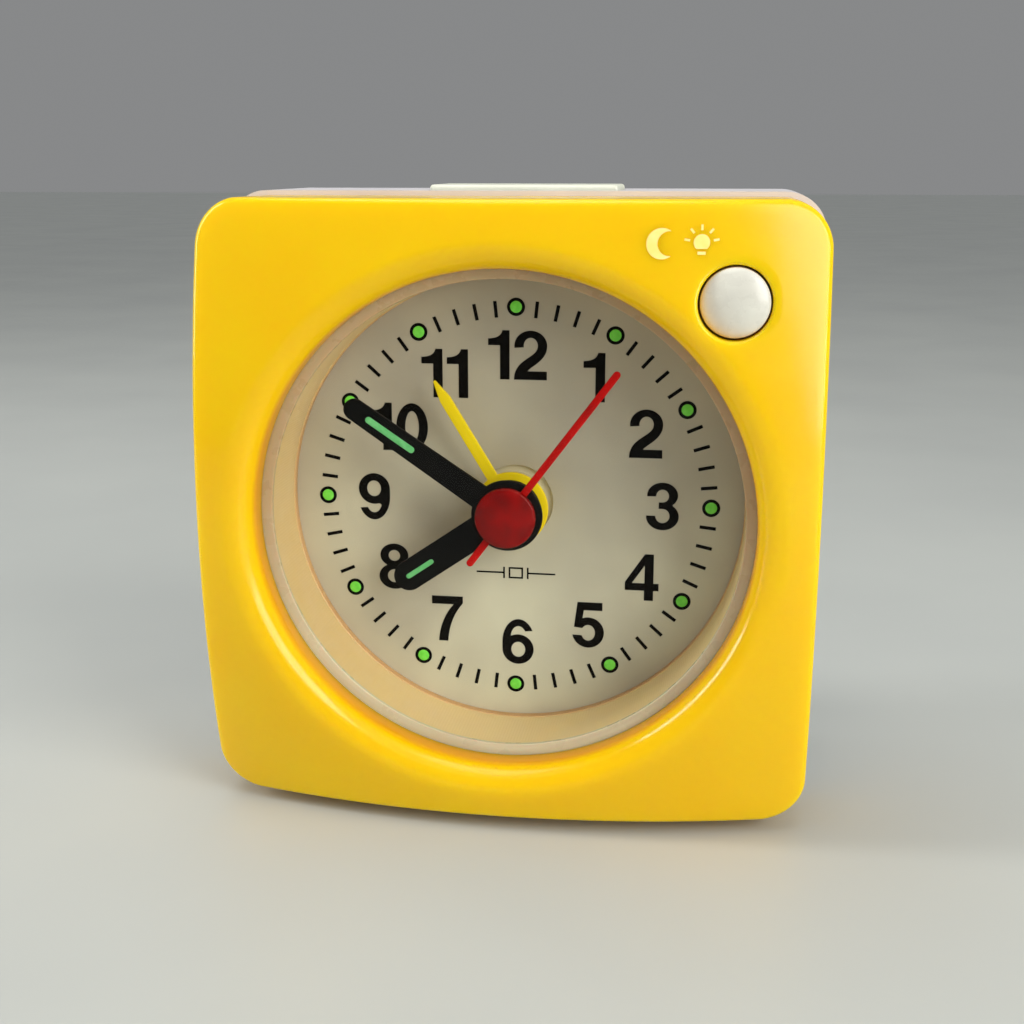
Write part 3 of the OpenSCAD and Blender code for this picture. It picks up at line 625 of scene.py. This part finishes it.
def rounded_rectangle(width, height, radius, side_steps=30, corner_steps=14):
    """Points of a rectangle with round corners and the direction outwards at each.

    They run anticlockwise, seen from the front, from the lower right corner.
    """
    made = []
    for quarter in (-1, 0, 1, 2):
        middle = Vector((width / 2 - radius, height / 2 - radius))
        if quarter in (1, 2):
            middle.x = -middle.x
        if quarter in (-1, 2):
            middle.y = -middle.y
        for i in range(corner_steps + 1):
            angle = math.radians(90 * quarter + 90 * i / corner_steps)
            outwards = Vector((math.cos(angle), math.sin(angle)))
            made.append((middle + radius * outwards, outwards))
        side = Vector((-outwards.y, outwards.x))
        length = (width if quarter in (0, 2) else height) - 2 * radius
        start = made[-1][0]
        for i in range(1, side_steps):
            made.append((start + side * length * i / side_steps, outwards))
    return made


def dome_y(radius, inset=0.0):
    """Depth of the domed front at a distance from the dial's axis."""
    return dome_mid_y - math.sqrt((DOME_R - inset) ** 2 - radius**2)


def front_y(radius):
    """Depth of the front, with the lip round the opening."""
    if radius < lip_end_r:
        return lip_mid_y - math.sqrt(LIP_R**2 - (radius - crest_r) ** 2)
    return dome_y(radius)


def inner_y(radius):
    """Depth of the shell's inner face behind the dome."""
    return dome_y(radius, DOME_WALL)


def block_rim(rows, near_row, far_row, first, last):
    """The vertices round a block of a grid, in order from its near row to its far row and back."""
    way = 1 if far_row > near_row else -1
    return (
        [rows[near_row][c] for c in range(first, last)]
        + [rows[r][last] for r in range(near_row, far_row, way)]
        + [rows[far_row][c] for c in range(last, first, -1)]
        + [rows[r][first] for r in range(far_row, near_row, -way)]
    )


def rows_to_circle(bm, rim, middle, radius, y_at, steps):
    """Rows of vertices from a rim in to a circle on a surface round the dial's axis."""
    bearings = []
    for vertex in rim:
        angle = math.atan2(vertex.co.z - middle[1], vertex.co.x - middle[0])
        while bearings and angle - bearings[-1] > math.pi:
            angle -= math.tau
        while bearings and bearings[-1] - angle > math.pi:
            angle += math.tau
        bearings.append(angle)
    turn = math.copysign(math.tau / len(rim), bearings[-1] - bearings[0])
    start = sum(b - turn * i for i, b in enumerate(bearings)) / len(rim)
    rows = [rim]
    for step in range(1, steps + 1):
        t = step / steps
        row = []
        for i, vertex in enumerate(rim):
            angle = start + turn * i
            x = (1 - t) * vertex.co.x + t * (middle[0] + radius * math.cos(angle))
            z = (1 - t) * vertex.co.z + t * (middle[1] + radius * math.sin(angle))
            row.append(bm.verts.new((x, y_at(math.hypot(x, z - dial_z)), z)))
        rows.append(row)
    return rows


def front_shell():
    """The domed yellow front, one closed loft from the opening out, back and in again."""
    shift = bezel_mid_z - dial_z

    def outline(inset):
        return [
            (Vector((p.x, p.y + shift)), n)
            for p, n in rounded_rectangle(case_w - 2 * inset, case_h - 2 * inset, CORNER_R - inset)
        ]

    outer = outline(0)
    bearings = [math.atan2(p.y, p.x) for p, _ in outer]

    def round_ring(radius, y):
        return [(radius * math.cos(a), y, dial_z + radius * math.sin(a)) for a in bearings]

    def flat_ring(inset, y):
        return [(p.x, y, dial_z + p.y) for p, _ in outline(inset)]

    def surface_ring(edge, radius, share, y_at):
        """A ring on a surface, a share of the way from a circle out to an outline."""
        ring = []
        for (p, _), a in zip(edge, bearings):
            x = (1 - share) * radius * math.cos(a) + share * p.x
            z = (1 - share) * radius * math.sin(a) + share * p.y
            ring.append((x, y_at(math.hypot(x, z)), dial_z + z))
        return ring

    rings = [round_ring(opening_r, flange_y)]
    lip_steps = 12
    for i in range(lip_steps + 1):
        angle = math.pi - (math.pi / 2 + lip_turn) * i / lip_steps
        rings.append(
            round_ring(crest_r + LIP_R * math.cos(angle), lip_mid_y - LIP_R * math.sin(angle))
        )
    dome_steps = 8
    hole_rows = 8
    hole_first = len(rings) - 3
    hole_last = hole_first + hole_rows
    round_edge = outline(EDGE_ROUND)
    for i in range(1, dome_steps + 1):
        rings.append(surface_ring(round_edge, lip_end_r, i / dome_steps, dome_y))
    edge_steps = 8
    for i in range(1, edge_steps + 1):
        ring = []
        for p, n in round_edge:
            flat = math.sqrt(DOME_R**2 - p.length_squared)
            slope = math.atan2(p.dot(n), flat)
            radius = EDGE_ROUND / (1 - math.sin(slope))
            angle = slope + (math.pi / 2 - slope) * i / edge_steps
            at = p + n * radius * (math.sin(angle) - math.sin(slope))
            y = dome_y(p.length) + radius * (math.cos(slope) - math.cos(angle))
            ring.append((at.x, y, dial_z + at.y))
        rings.append(ring)
    seam = [(0, SEAM_Y - 2), (0, SEAM_Y), (WALL, SEAM_Y)]
    for inset, y in soften(seam, SEAM_ROUND)[1:-1]:
        rings.append(flat_ring(inset, y))
    rings.append(flat_ring(WALL, SEAM_Y))
    inner_edge = outline(WALL)
    inner_steps = 10
    for i in range(inner_steps + 1):
        rings.append(surface_ring(inner_edge, frame_r, 1 - i / inner_steps, inner_y))
    inner_last = len(rings) - 1
    rings.append(round_ring(frame_r, dial_back_y))
    rings.append(round_ring(flange_r + FLANGE_PLAY, dial_back_y))
    rings.append(round_ring(flange_r + FLANGE_PLAY, flange_y))

    middle = (button_x, button_z)
    bearing = math.atan2(button_z - dial_z, button_x)
    hole_reach = math.radians(11)
    near = [i for i, a in enumerate(bearings) if abs(a - bearing) < hole_reach]
    first, last = near[0], near[-1]
    inner_from = inner_last - hole_rows

    def in_hole(row, column):
        on_front = hole_first <= row < hole_last
        on_inside = inner_from <= row < inner_last
        return first <= column < last and (on_front or on_inside)

    bm = bmesh.new()
    rows = add_rows(bm, rings)
    strip(bm, rows, wrap=True, skip=in_hole)
    front_rim = block_rim(rows, hole_first, hole_last, first, last)
    front = rows_to_circle(bm, front_rim, middle, BUTTON_HOLE_R + BUTTON_EDGE, front_y, steps=4)
    back_rim = block_rim(rows, inner_last, inner_from, first, last)
    back = rows_to_circle(bm, back_rim, middle, BUTTON_HOLE_R, inner_y, steps=3)
    edge_rows = []
    round_steps = 4
    for i in range(1, round_steps + 1):
        angle = math.pi / 2 * i / round_steps
        row = []
        for vertex in front[-1]:
            away = Vector((vertex.co.x - middle[0], vertex.co.z - middle[1])).normalized()
            radius = BUTTON_HOLE_R + BUTTON_EDGE * (1 - math.sin(angle))
            y = vertex.co.y + BUTTON_EDGE * (1 - math.cos(angle))
            x = middle[0] + away.x * radius
            row.append(bm.verts.new((x, y, middle[1] + away.y * radius)))
        edge_rows.append(row)
    strip(bm, front + edge_rows + back[::-1])
    return bm


def foot(x, y):
    """A short round foot, let into the shell above it."""
    top = FOOT_H + FOOT_SUNK
    profile = soften([(0, 0), (FOOT_R, 0), (FOOT_R, top), (0, top)], 0.3)
    return lathe(profile, Matrix.Translation((x, y, 0)), steps=48)


def rectangle_gap(x, z, width, height, radius):
    """Distance outside a centred rectangle with round corners; negative inside."""
    across = Vector((abs(x) - width / 2 + radius, abs(z) - height / 2 + radius))
    beyond = Vector((max(across.x, 0), max(across.y, 0))).length
    return beyond + min(max(across.x, across.y), 0) - radius


def rear_shell():
    """The rear case, with its back edge rounded and its openings eased."""
    outline_slack = 0.03
    plane_slack = 0.01

    def outside(vertex):
        x, z = vertex.co.x, vertex.co.z - rear_mid_z
        return abs(rectangle_gap(x, z, case_w, rear_h, REAR_CORNER_R)) < outline_slack

    def at_back(vertex):
        return abs(vertex.co.y - rear_back_y) < plane_slack

    def back_edge(edge):
        return all(at_back(v) and outside(v) for v in edge.verts)

    def opening_edge(edge):
        return all(at_back(v) and not outside(v) for v in edge.verts)

    bm = from_cad("rear_case")
    round_edges(bm, REAR_ROUND, back_edge, segments=6)
    round_edges(bm, OPENING_ROUND, opening_edge, segments=2)
    return bm


piece("front_case", front_shell(), "case", YELLOW, ("front_bezel",), sharp=50)
for side, x in (("left", -FOOT_X), ("right", FOOT_X)):
    piece(f"front_foot_{side}", foot(x, FRONT_FOOT_Y), "case", YELLOW)
piece(
    "rear_cover", rear_shell(), "case", REAR, ("rear_case",), sharp=35, even=True
)


# ---- Crystal, light ring and dial ----


def crystal_disc():
    radius = opening_r - 0.1
    back = crystal_y + CRYSTAL_T
    profile = soften([(0, crystal_y), (radius, crystal_y), (radius, back), (0, back)], 0.2)
    return lathe(profile, along_y(0, dial_z), steps=160)


def crystal_rim():
    """The crystal's flange, which the bezel holds down and which frames the light ring."""
    inner = RING_IN_R - 0.05
    profile = soften(
        [
            (inner, flange_y + 0.2), (flange_r, flange_y + 0.02), (flange_r, ring_y),
            (inner, ring_y),
        ],
        0.1,
        wrap=True,
    )
    return lathe(profile, along_y(0, dial_z), steps=200, wrap=True)


def light_ring():
    """The ring behind the crystal, with fine ribs down its inner wall."""
    ribs = 480
    ledge_r = RING_IN_R - LEDGE_W
    profile = soften(
        [
            (RING_IN_R, ring_y), (flange_r, ring_y), (flange_r, dial_y), (ledge_r, dial_y),
            (ledge_r, dial_y - LEDGE_H), (RING_IN_R, dial_y - LEDGE_H - 0.1),
        ],
        0.08,
        wrap=True,
    )
    place = along_y(0, dial_z)
    return lathe(profile, place, steps=4 * ribs, wrap=True, ribs=ribs, rib_depth=0.008)


def dial_plate():
    profile = soften(
        [
            (DIAL_HOLE_R, dial_y), (flange_r, dial_y), (flange_r, dial_back_y),
            (DIAL_HOLE_R, dial_back_y),
        ],
        0.06,
        wrap=True,
    )
    return lathe(profile, along_y(0, dial_z), steps=160, wrap=True)


piece("crystal_disc", crystal_disc(), "case", LENS, ("crystal",), sharp=50)
piece("crystal_rim", crystal_rim(), "case", RIM, sharp=50)
piece("light_ring", light_ring(), "case", RING, ("dial_ring",), sharp=50)
piece("dial_plate", dial_plate(), "case", DIAL, ("dial",), sharp=50)


# ---- Print on the dial ----

PRINT_T = 0.03
NUMERAL_H = 4.9
NUMERAL_GAP = 0.09          # between two digits, in digit heights
TICK_IN_R = 18.72
TICK_OUT_R = 20.35
TICK_W = 0.34
DOT_RING_R = 0.9
DOT_HOLE_R = 0.59


def digit_outlines():
    """Outlines of the bold upright digits, one unit high, as lists of loops."""
    mid = 0.335
    one = [(0.245, 0), (0.44, 0), (0.44, 1), (0.295, 1)]
    one += bend((0.295, 1), (0.27, 0.885), (0.17, 0.835), (0, 0.83)) + [(0, 0.695), (0.245, 0.695)]
    two = [(0, 0), (0.675, 0), (0.675, 0.175), (0.28, 0.175)]
    two += bend((0.28, 0.175), (0.36, 0.29), (0.68, 0.40), (0.68, 0.69))
    two += arc((0.345, 0.69), (0.335, 0.31), 0, 188, 20)[1:]
    two += arc((0.345, 0.69), (0.145, 0.165), 190, 0, 20)
    two += bend((0.49, 0.69), (0.49, 0.44), (0.0, 0.44), (0, 0))[1:-1]
    three = arc((0.33, 0.735), (0.315, 0.265), 186, -48, 24)
    three += arc((mid, 0.29), (0.335, 0.29), 52, -182, 24)
    three += arc((mid, 0.30), (0.145, 0.15), -180, 90, 20)
    three += [(0.255, 0.45), (0.255, 0.585)]
    three += arc((0.33, 0.72), (0.13, 0.135), -90, 184, 20)
    four = [(0.40, 0), (0.59, 0), (0.59, 0.215), (0.70, 0.215), (0.70, 0.372), (0.59, 0.372)]
    four += [(0.59, 1), (0.405, 1), (0, 0.39), (0, 0.215), (0.40, 0.215)]
    five = [(0.63, 1), (0.105, 1), (0.035, 0.45), (0.205, 0.43)]
    five += arc((mid, 0.33), (0.145, 0.175), 140, -160, 20)
    five += arc((mid, 0.335), (0.335, 0.335), -170, 112, 24)
    five += [(0.207, 0.605), (0.242, 0.825), (0.63, 0.825)]
    six = arc((0.345, 0.5), (0.345, 0.5), 30, 180, 20)
    six += arc((mid, 0.33), (0.335, 0.33), 180, 478, 30)
    six += arc((0.345, 0.61), (0.165, 0.235), 182, 32, 16)
    six_eye = arc((0.34, 0.325), (0.15, 0.17), 0, 345, 23)
    seven = [(0, 1), (0.67, 1), (0.67, 0.85)]
    seven += bend((0.67, 0.85), (0.49, 0.64), (0.365, 0.35), (0.345, 0))[1:]
    seven += bend((0.145, 0), (0.165, 0.32), (0.28, 0.61), (0.47, 0.822)) + [(0, 0.822)]
    eight = arc((mid, 0.28), (0.335, 0.28), 118, 422, 28)
    eight += arc((mid, 0.745), (0.305, 0.255), -57, 237, 28)
    eyes = [arc((mid, 0.74), (0.125, 0.12), 0, 345, 23), arc((mid, 0.29), (0.15, 0.145), 0, 345, 23)]
    zero = arc((mid, 0.5), (0.335, 0.5), 0, 350, 35)
    zero_eye = arc((mid, 0.5), (0.145, 0.335), 0, 350, 35)

    def turned(loop):
        return [(2 * mid - x, 1 - y) for x, y in loop]

    return {
        "0": [zero, zero_eye],
        "1": [one],
        "2": [two],
        "3": [three],
        "4": [four, [(0.405, 0.372), (0.405, 0.755), (0.145, 0.372)]],
        "5": [five],
        "6": [six, six_eye],
        "7": [seven],
        "8": [eight] + eyes,
        "9": [turned(six), turned(six_eye)],
    }


def numerals():
    """The twelve hour numerals. Their middles are given in shares of the dots' circle."""
    digits = digit_outlines()
    middles = {
        "12": (0.008, 0.758), "1": (0.397, 0.653), "2": (0.663, 0.373), "3": (0.755, 0.0),
        "4": (0.658, -0.38), "5": (0.383, -0.653), "6": (0.012, -0.763), "7": (-0.367, -0.653),
        "8": (-0.65, -0.377), "9": (-0.75, 0.0), "10": (-0.608, 0.375), "11": (-0.367, 0.658),
    }
    loops = []
    for text, (right, up) in middles.items():
        placed = []
        start = 0.0
        for digit in text:
            placed += [[(x + start, y) for x, y in loop] for loop in digits[digit]]
            start = max(x for loop in placed for x, _ in loop) + NUMERAL_GAP
        width = start - NUMERAL_GAP
        loops += [
            [
                (right * DOTS_R + (x - width / 2) * NUMERAL_H, up * DOTS_R + (y - 0.5) * NUMERAL_H)
                for x, y in loop
            ]
            for loop in placed
        ]
    return plate(loops, dial_y - PRINT_T, PRINT_T)


def turned_box(angle, low, high, width):
    """Corners of a bar that points outwards at an angle clockwise from twelve."""
    a = math.radians(angle)
    corners = ((-width / 2, low), (width / 2, low), (width / 2, high), (-width / 2, high))
    return [
        (x * math.cos(a) + y * math.sin(a), y * math.cos(a) - x * math.sin(a)) for x, y in corners
    ]


def ticks():
    loops = [turned_box(6 * i, TICK_IN_R, TICK_OUT_R, TICK_W) for i in range(60) if i % 5]
    return plate(loops, dial_y - PRINT_T, PRINT_T)


def hour_places():
    """The middles of the hour dots, as (right, up) from the dial's axis."""
    for i in range(12):
        a = math.radians(30 * i)
        yield DOTS_R * math.sin(a), DOTS_R * math.cos(a)


def dot_rings():
    loops = []
    for right, up in hour_places():
        loops.append(circle((right, up), DOT_RING_R, 40))
        loops.append(circle((right, up), DOT_HOLE_R, 40))
    return plate(loops, dial_y - PRINT_T, PRINT_T)


def dot_centres():
    """Slightly domed spots of lume inside the rings."""
    profile = [(0, -0.09), (0.3, -0.08), (0.5, -0.055), (0.61, -0.02), (0.61, 0.01), (0, 0.01)]
    return merge(
        lathe(profile, Matrix.Translation((right, dial_y, dial_z + up)) @ UP_TO_Y, steps=32)
        for right, up in hour_places()
    )


def crystal_symbol():
    """A quartz resonator's circuit symbol: a box between two plates, with a lead each side."""
    up = -0.385 * DOTS_R
    half, line = 0.6, 0.17      # half the box's height and the width of its lines
    near, end = 1.15, 4.1       # where a plate and its lead start and end

    def box(left, right, low, high):
        return [(left, up + low), (right, up + low), (right, up + high), (left, up + high)]

    loops = [
        box(-0.75, 0.75, -half, half),
        box(-0.75 + line, 0.75 - line, -half + line, half - line),
    ]
    for side in (-1, 1):
        plate_and_lead = [
            (near, -half), (near + line, -half), (near + line, -line / 2), (end, -line / 2),
            (end, line / 2), (near + line, line / 2), (near + line, half), (near, half),
        ]
        loops.append([(side * x, up + y) for x, y in plate_and_lead])
    return plate(loops, dial_y - PRINT_T, PRINT_T)


def on_dial(bm):
    """Lifts a shape drawn about the origin to the dial's axis."""
    bm.transform(Matrix.Translation((0, 0, dial_z)))
    return bm


piece("dial_numerals", on_dial(numerals()), "case", INK)
piece("dial_ticks", on_dial(ticks()), "case", INK)
piece("dial_dot_rings", on_dial(dot_rings()), "case", INK)
piece("dial_dots", dot_centres(), "case", LUME)
piece("dial_symbol", on_dial(crystal_symbol()), "case", INK)


# ---- Hands ----


def aimed(bm, angle):
    """Turns a hand drawn pointing up to its angle, on the dial's axis."""
    turn = Matrix.Rotation(math.radians(angle), 4, "Y")
    bm.transform(Matrix.Translation((0, 0, dial_z)) @ turn)
    return bm


def bar_outline(length, width, tip_width, hub):
    """A tapering bar with a round end, on a round hub."""
    root = math.degrees(math.asin(width / 2 / hub))
    tip = tip_width / 2
    outline = arc((0, 0), (hub, hub), 90 + root, 450 - root, 60)
    return outline + arc((0, length - tip), (tip, tip), 0, 180, 16)


def strip_outline(width, low, high):
    """A strip with round ends, from low to high up the hand."""
    tip = width / 2
    top = arc((0, high - tip), (tip, tip), 0, 180, 8)
    return top + arc((0, low + tip), (tip, tip), 180, 360, 8)


def collar(bore, radius, front, back):
    """The ring behind a hand that slips over the arbor."""
    profile = [(bore, front), (radius, front), (radius, back), (bore, back)]
    return lathe(profile, UP_TO_Y, steps=64, wrap=True)


def bar_hand(name, body, node, angle, outline, bore, lume):
    """A black hand with a rounded edge, a collar behind it and a strip of lume let in."""
    front, back = (corner.y for corner in box_mm(node))
    blade = plate([outline, circle((0, 0), bore)], front, HAND_T, edge=0.12)
    hand = merge([blade, collar(bore, bore + 0.9, front + HAND_T - 0.02, back)])
    piece(name, aimed(hand, angle), body, BLACK, (node,), sharp=50)
    strip_bm = plate([strip_outline(*lume)], front - 0.05, 0.1, edge=0.03)
    piece(f"{name}_lume", aimed(strip_bm, angle), body, STRIP_LUME, sharp=60)


bar_hand(
    "minute_pointer", "minute_hand_set", "minute_hand", 6 * MINUTE_SHOWN,
    bar_outline(19.2, 2.5, 2.15, MINUTE_HUB_R), MINUTE_BORE_R, (0.66, 11.0, 16.7),
)
bar_hand(
    "hour_pointer", "hour_hand_set", "hour_hand", 30 * HOUR_SHOWN,
    bar_outline(14.1, 3.05, 3.05, HOUR_HUB_R), HOUR_BORE_R, (0.5, 9.45, 12.8),
)


def alarm_pointer():
    """The yellow hand: a bar with a pointed end on a hub that is open in the middle."""
    front, back = (corner.y for corner in box_mm("alarm_hand"))
    half, length, point = 0.56, 14.8, 2.1
    root = math.degrees(math.asin(half / ALARM_HUB_R))
    outline = arc((0, 0), (ALARM_HUB_R, ALARM_HUB_R), 90 + root, 450 - root, 60)
    outline += [(half, length - point), (0.1, length), (-0.1, length), (-half, length - point)]
    blade = plate([outline, circle((0, 0), ALARM_BORE_R)], front, HAND_T, edge=0.08)
    return merge([blade, collar(ALARM_BORE_R, 2.8, front + HAND_T - 0.02, back)])


def second_pointer():
    """The thin red hand with its tail, under its cap."""
    half, length, tail = 0.36, 18, 6.3
    thickness = 0.3
    outline = arc((0, length - half), (half, half), 0, 180, 10)
    outline += arc((0, half - tail), (half, half), 180, 360, 10)
    return plate([outline], second_high.y - thickness, thickness, edge=0.07)


def second_cap():
    """The red cap: a short drum with a shallow dome and a rounded edge."""
    front = second_low.y
    back = second_high.y - 0.28
    crown = [
        (r, front + CAP_DOME_R - math.sqrt(CAP_DOME_R**2 - r**2))
        for r in (0, 0.6, 1.2, 1.8, 2.3, 2.6)
    ]
    rim = arc((CAP_R - 0.25, front + 0.53), (0.25, 0.22), -80, 0, 6)
    drum = [(CAP_R, front + 0.9), (CAP_R, back - 0.05), (CAP_R - 0.05, back)]
    bore = [(0.4, back), (0.4, front + 0.6), (0, front + 0.6)]
    return lathe(crown + rim + drum + bore, UP_TO_Y, steps=120)


piece(
    "alarm_pointer", aimed(alarm_pointer(), 30 * ALARM_SHOWN), "alarm_hand_set",
    ALARM_YELLOW, ("alarm_hand",), sharp=50,
)
piece(
    "second_pointer", aimed(second_pointer(), 6 * SECOND_SHOWN), "second_hand_set",
    RED, ("second_hand",), sharp=60,
)
piece(
    "second_cap", aimed(second_cap(), 6 * SECOND_SHOWN), "second_hand_set", RED_CAP,
    sharp=60,
)


# ---- Controls ----


def front_button():
    """The domed snooze button with its flange, stem and plunger, turned in one."""
    low, high = button_low.y, button_high.y
    dome_r = 6.9
    dome = [(r, low + dome_r - math.sqrt(dome_r**2 - r**2)) for r in (0, 0.8, 1.5, 2.1, 2.6, 2.9)]
    flange_back = BUTTON_FLANGE_Y + BUTTON_FLANGE_T
    rest = [
        (BUTTON_R, low + 0.85), (BUTTON_R, BUTTON_FLANGE_Y), (BUTTON_FLANGE_R, BUTTON_FLANGE_Y),
        (BUTTON_FLANGE_R, flange_back), (STEM_R, flange_back), (STEM_R, high - 3),
        (PLUNGER_R, high - 2.8), (PLUNGER_R, high), (0, high),
    ]
    profile = dome[:-1] + soften([dome[-1]] + rest, 0.25)
    return lathe(profile, along_y(button_x, button_z), steps=96)


def on_front(bm, lift):
    """Lays a flat drawing on the domed front."""
    for vertex in bm.verts:
        radius = math.hypot(vertex.co.x, vertex.co.z - dial_z)
        vertex.co.y += front_y(radius) - lift
    return bm


def crescent(middle, radius):
    """A moon: a round outline with a smaller circle bitten out of its right side."""
    x, y = middle
    outer = arc((x, y), (radius, radius), 52, 308, 32)
    inner_mid = (x + 0.52 * radius, y)
    reach = math.hypot(outer[-1][0] - inner_mid[0], outer[-1][1] - inner_mid[1])
    turn = math.degrees(math.atan2(outer[-1][1] - inner_mid[1], outer[-1][0] - inner_mid[0]))
    return outer + arc(inner_mid, (reach, reach), turn % 360, 360 - turn % 360, 24)[1:-1]


def button_symbols():
    """A moon and a lamp above the front button."""
    middle_x, middle_up = 0.8325 * DOTS_R, 1.3475 * DOTS_R
    moon = crescent((middle_x - 1.75, middle_up), 1.35)
    lamp_x = middle_x + 1.75
    bulb = arc((lamp_x, middle_up + 0.1), (0.72, 0.72), -50, 230, 28)
    base = [
        (lamp_x + side * 0.36, middle_up - drop)
        for side, drop in ((-1, 0.95), (1, 0.95), (1, 0.68), (-1, 0.68))
    ]
    loops = [moon, bulb, base]
    for turn in (-80, -40, 0, 40, 80):
        ray = turned_box(turn, 1.05, 1.55, 0.2)
        loops.append([(lamp_x + x, middle_up + 0.1 + y) for x, y in ray])
    drawing = plate(loops, 0, PRINT_T)
    bmesh.ops.triangulate(drawing, faces=drawing.faces)
    return drawing


piece(
    "snooze_cap", front_button(), "snooze_button", WHITE, ("snooze_button",),
    sharp=50,
)
piece(
    "button_symbols", on_front(on_dial(button_symbols()), 0.02), "case", CREAM
)


def eased(name, node, body, material, width, segments):
    """A piece with a CAD node's shape and all its sharp edges rounded."""
    bm = round_edges(from_cad(node), width, lambda edge: True, segments)
    piece(name, bm, body, material, (node,), sharp=35, even=True)


eased("top_bar", "alarm_bar", "alarm_bar", BAR, 0.35, 3)
eased("battery_cover", "battery_door", "battery_door", REAR, 0.12, 2)
for knob, body in (("time_set_knob", "time_setting"), ("alarm_set_knob", "alarm_setting")):
    eased(f"{knob}_grip", knob, body, KNOB, 0.1, 2)


# ---- Parts that keep their CAD shape ----

for part in frame["record"]["subparts"]:
    node = frame["nodes"][part["node"]]
    if not node.hide_render:
        for place in node.material_slots:
            place.material = CAD_FINISHES[part["material_slot"]]


# ---- Floor, light and camera ----


def floor_material():
    surface = Surface("pale_floor")
    surface.colour(surface.blend(surface.clouds(60), rgb(188, 192, 188), rgb(182, 186, 183)))
    surface.gloss(0.45, 0.6, 40)
    return surface.material


def floor():
    """A level floor under the clock, which is staging only."""
    bm = bmesh.new()
    bmesh.ops.create_grid(bm, x_segments=8, y_segments=8, size=3)
    mesh = bpy.data.meshes.new("floor")
    bm.to_mesh(mesh)
    bm.free()
    mesh.materials.append(floor_material())
    thing = bpy.data.objects.new("floor", mesh)
    bpy.context.scene.collection.objects.link(thing)


def softbox(name, place, aim, size, watts, tint):
    """An area light at a place, in millimetres, that faces a point."""
    light = bpy.data.lights.new(name, "AREA")
    light.shape = "RECTANGLE"
    light.size = size[0] * MM
    light.size_y = size[1] * MM
    light.energy = watts
    light.color = tint
    thing = bpy.data.objects.new(name, light)
    bpy.context.scene.collection.objects.link(thing)
    thing.location = Vector(place) * MM
    towards = Vector(aim) - Vector(place)
    thing.rotation_euler = towards.to_track_quat("-Z", "Y").to_euler()


def room_light():
    """A very soft light from above, for the room around."""
    light = bpy.data.lights.new("room", "SUN")
    light.energy = 0.6
    light.angle = math.radians(80)
    thing = bpy.data.objects.new("room", light)
    bpy.context.scene.collection.objects.link(thing)
    thing.rotation_euler = (math.radians(12), math.radians(8), 0)


def photo_camera():
    """The camera looks at a point in front of the dial from a little right and above."""
    aim = Vector((0.4, -9.3, 30.95))
    azimuth, elevation, distance = math.radians(8.66), math.radians(13.92), 138.0
    back = Vector(
        (
            math.sin(azimuth) * math.cos(elevation),
            -math.cos(azimuth) * math.cos(elevation),
            math.sin(elevation),
        )
    )
    data = bpy.data.cameras.new("camera")
    data.lens = 49.43
    data.sensor_width = 36
    data.clip_start = 0.01
    data.clip_end = 20
    thing = bpy.data.objects.new("camera", data)
    bpy.context.scene.collection.objects.link(thing)
    thing.location = (aim + back * distance) * MM
    thing.rotation_euler = (-back).to_track_quat("-Z", "Y").to_euler()
    bpy.context.scene.camera = thing


def studio():
    """A key light from the front right, two soft lights, the room's light and a grey sky."""
    scene = bpy.context.scene
    scene.view_settings.view_transform = "Standard"
    scene.world = bpy.data.worlds.new("studio")
    scene.world.use_nodes = True
    sky = scene.world.node_tree.nodes["Background"]
    sky.inputs["Color"].default_value = (0.70, 0.71, 0.72, 1)
    sky.inputs["Strength"].default_value = 0.35
    middle = (0, 0, 30)
    softbox("key", (365, -295, 200), middle, (280, 360), 2.15, (1, 0.98, 0.93))
    softbox("overhead", (-60, -30, 420), middle, (420, 240), 0.65, (1, 0.99, 0.96))
    softbox("left_fill", (-380, -60, 180), middle, (70, 280), 0.9, (1, 0.98, 0.94))
    room_light()


floor()
studio()
photo_camera()
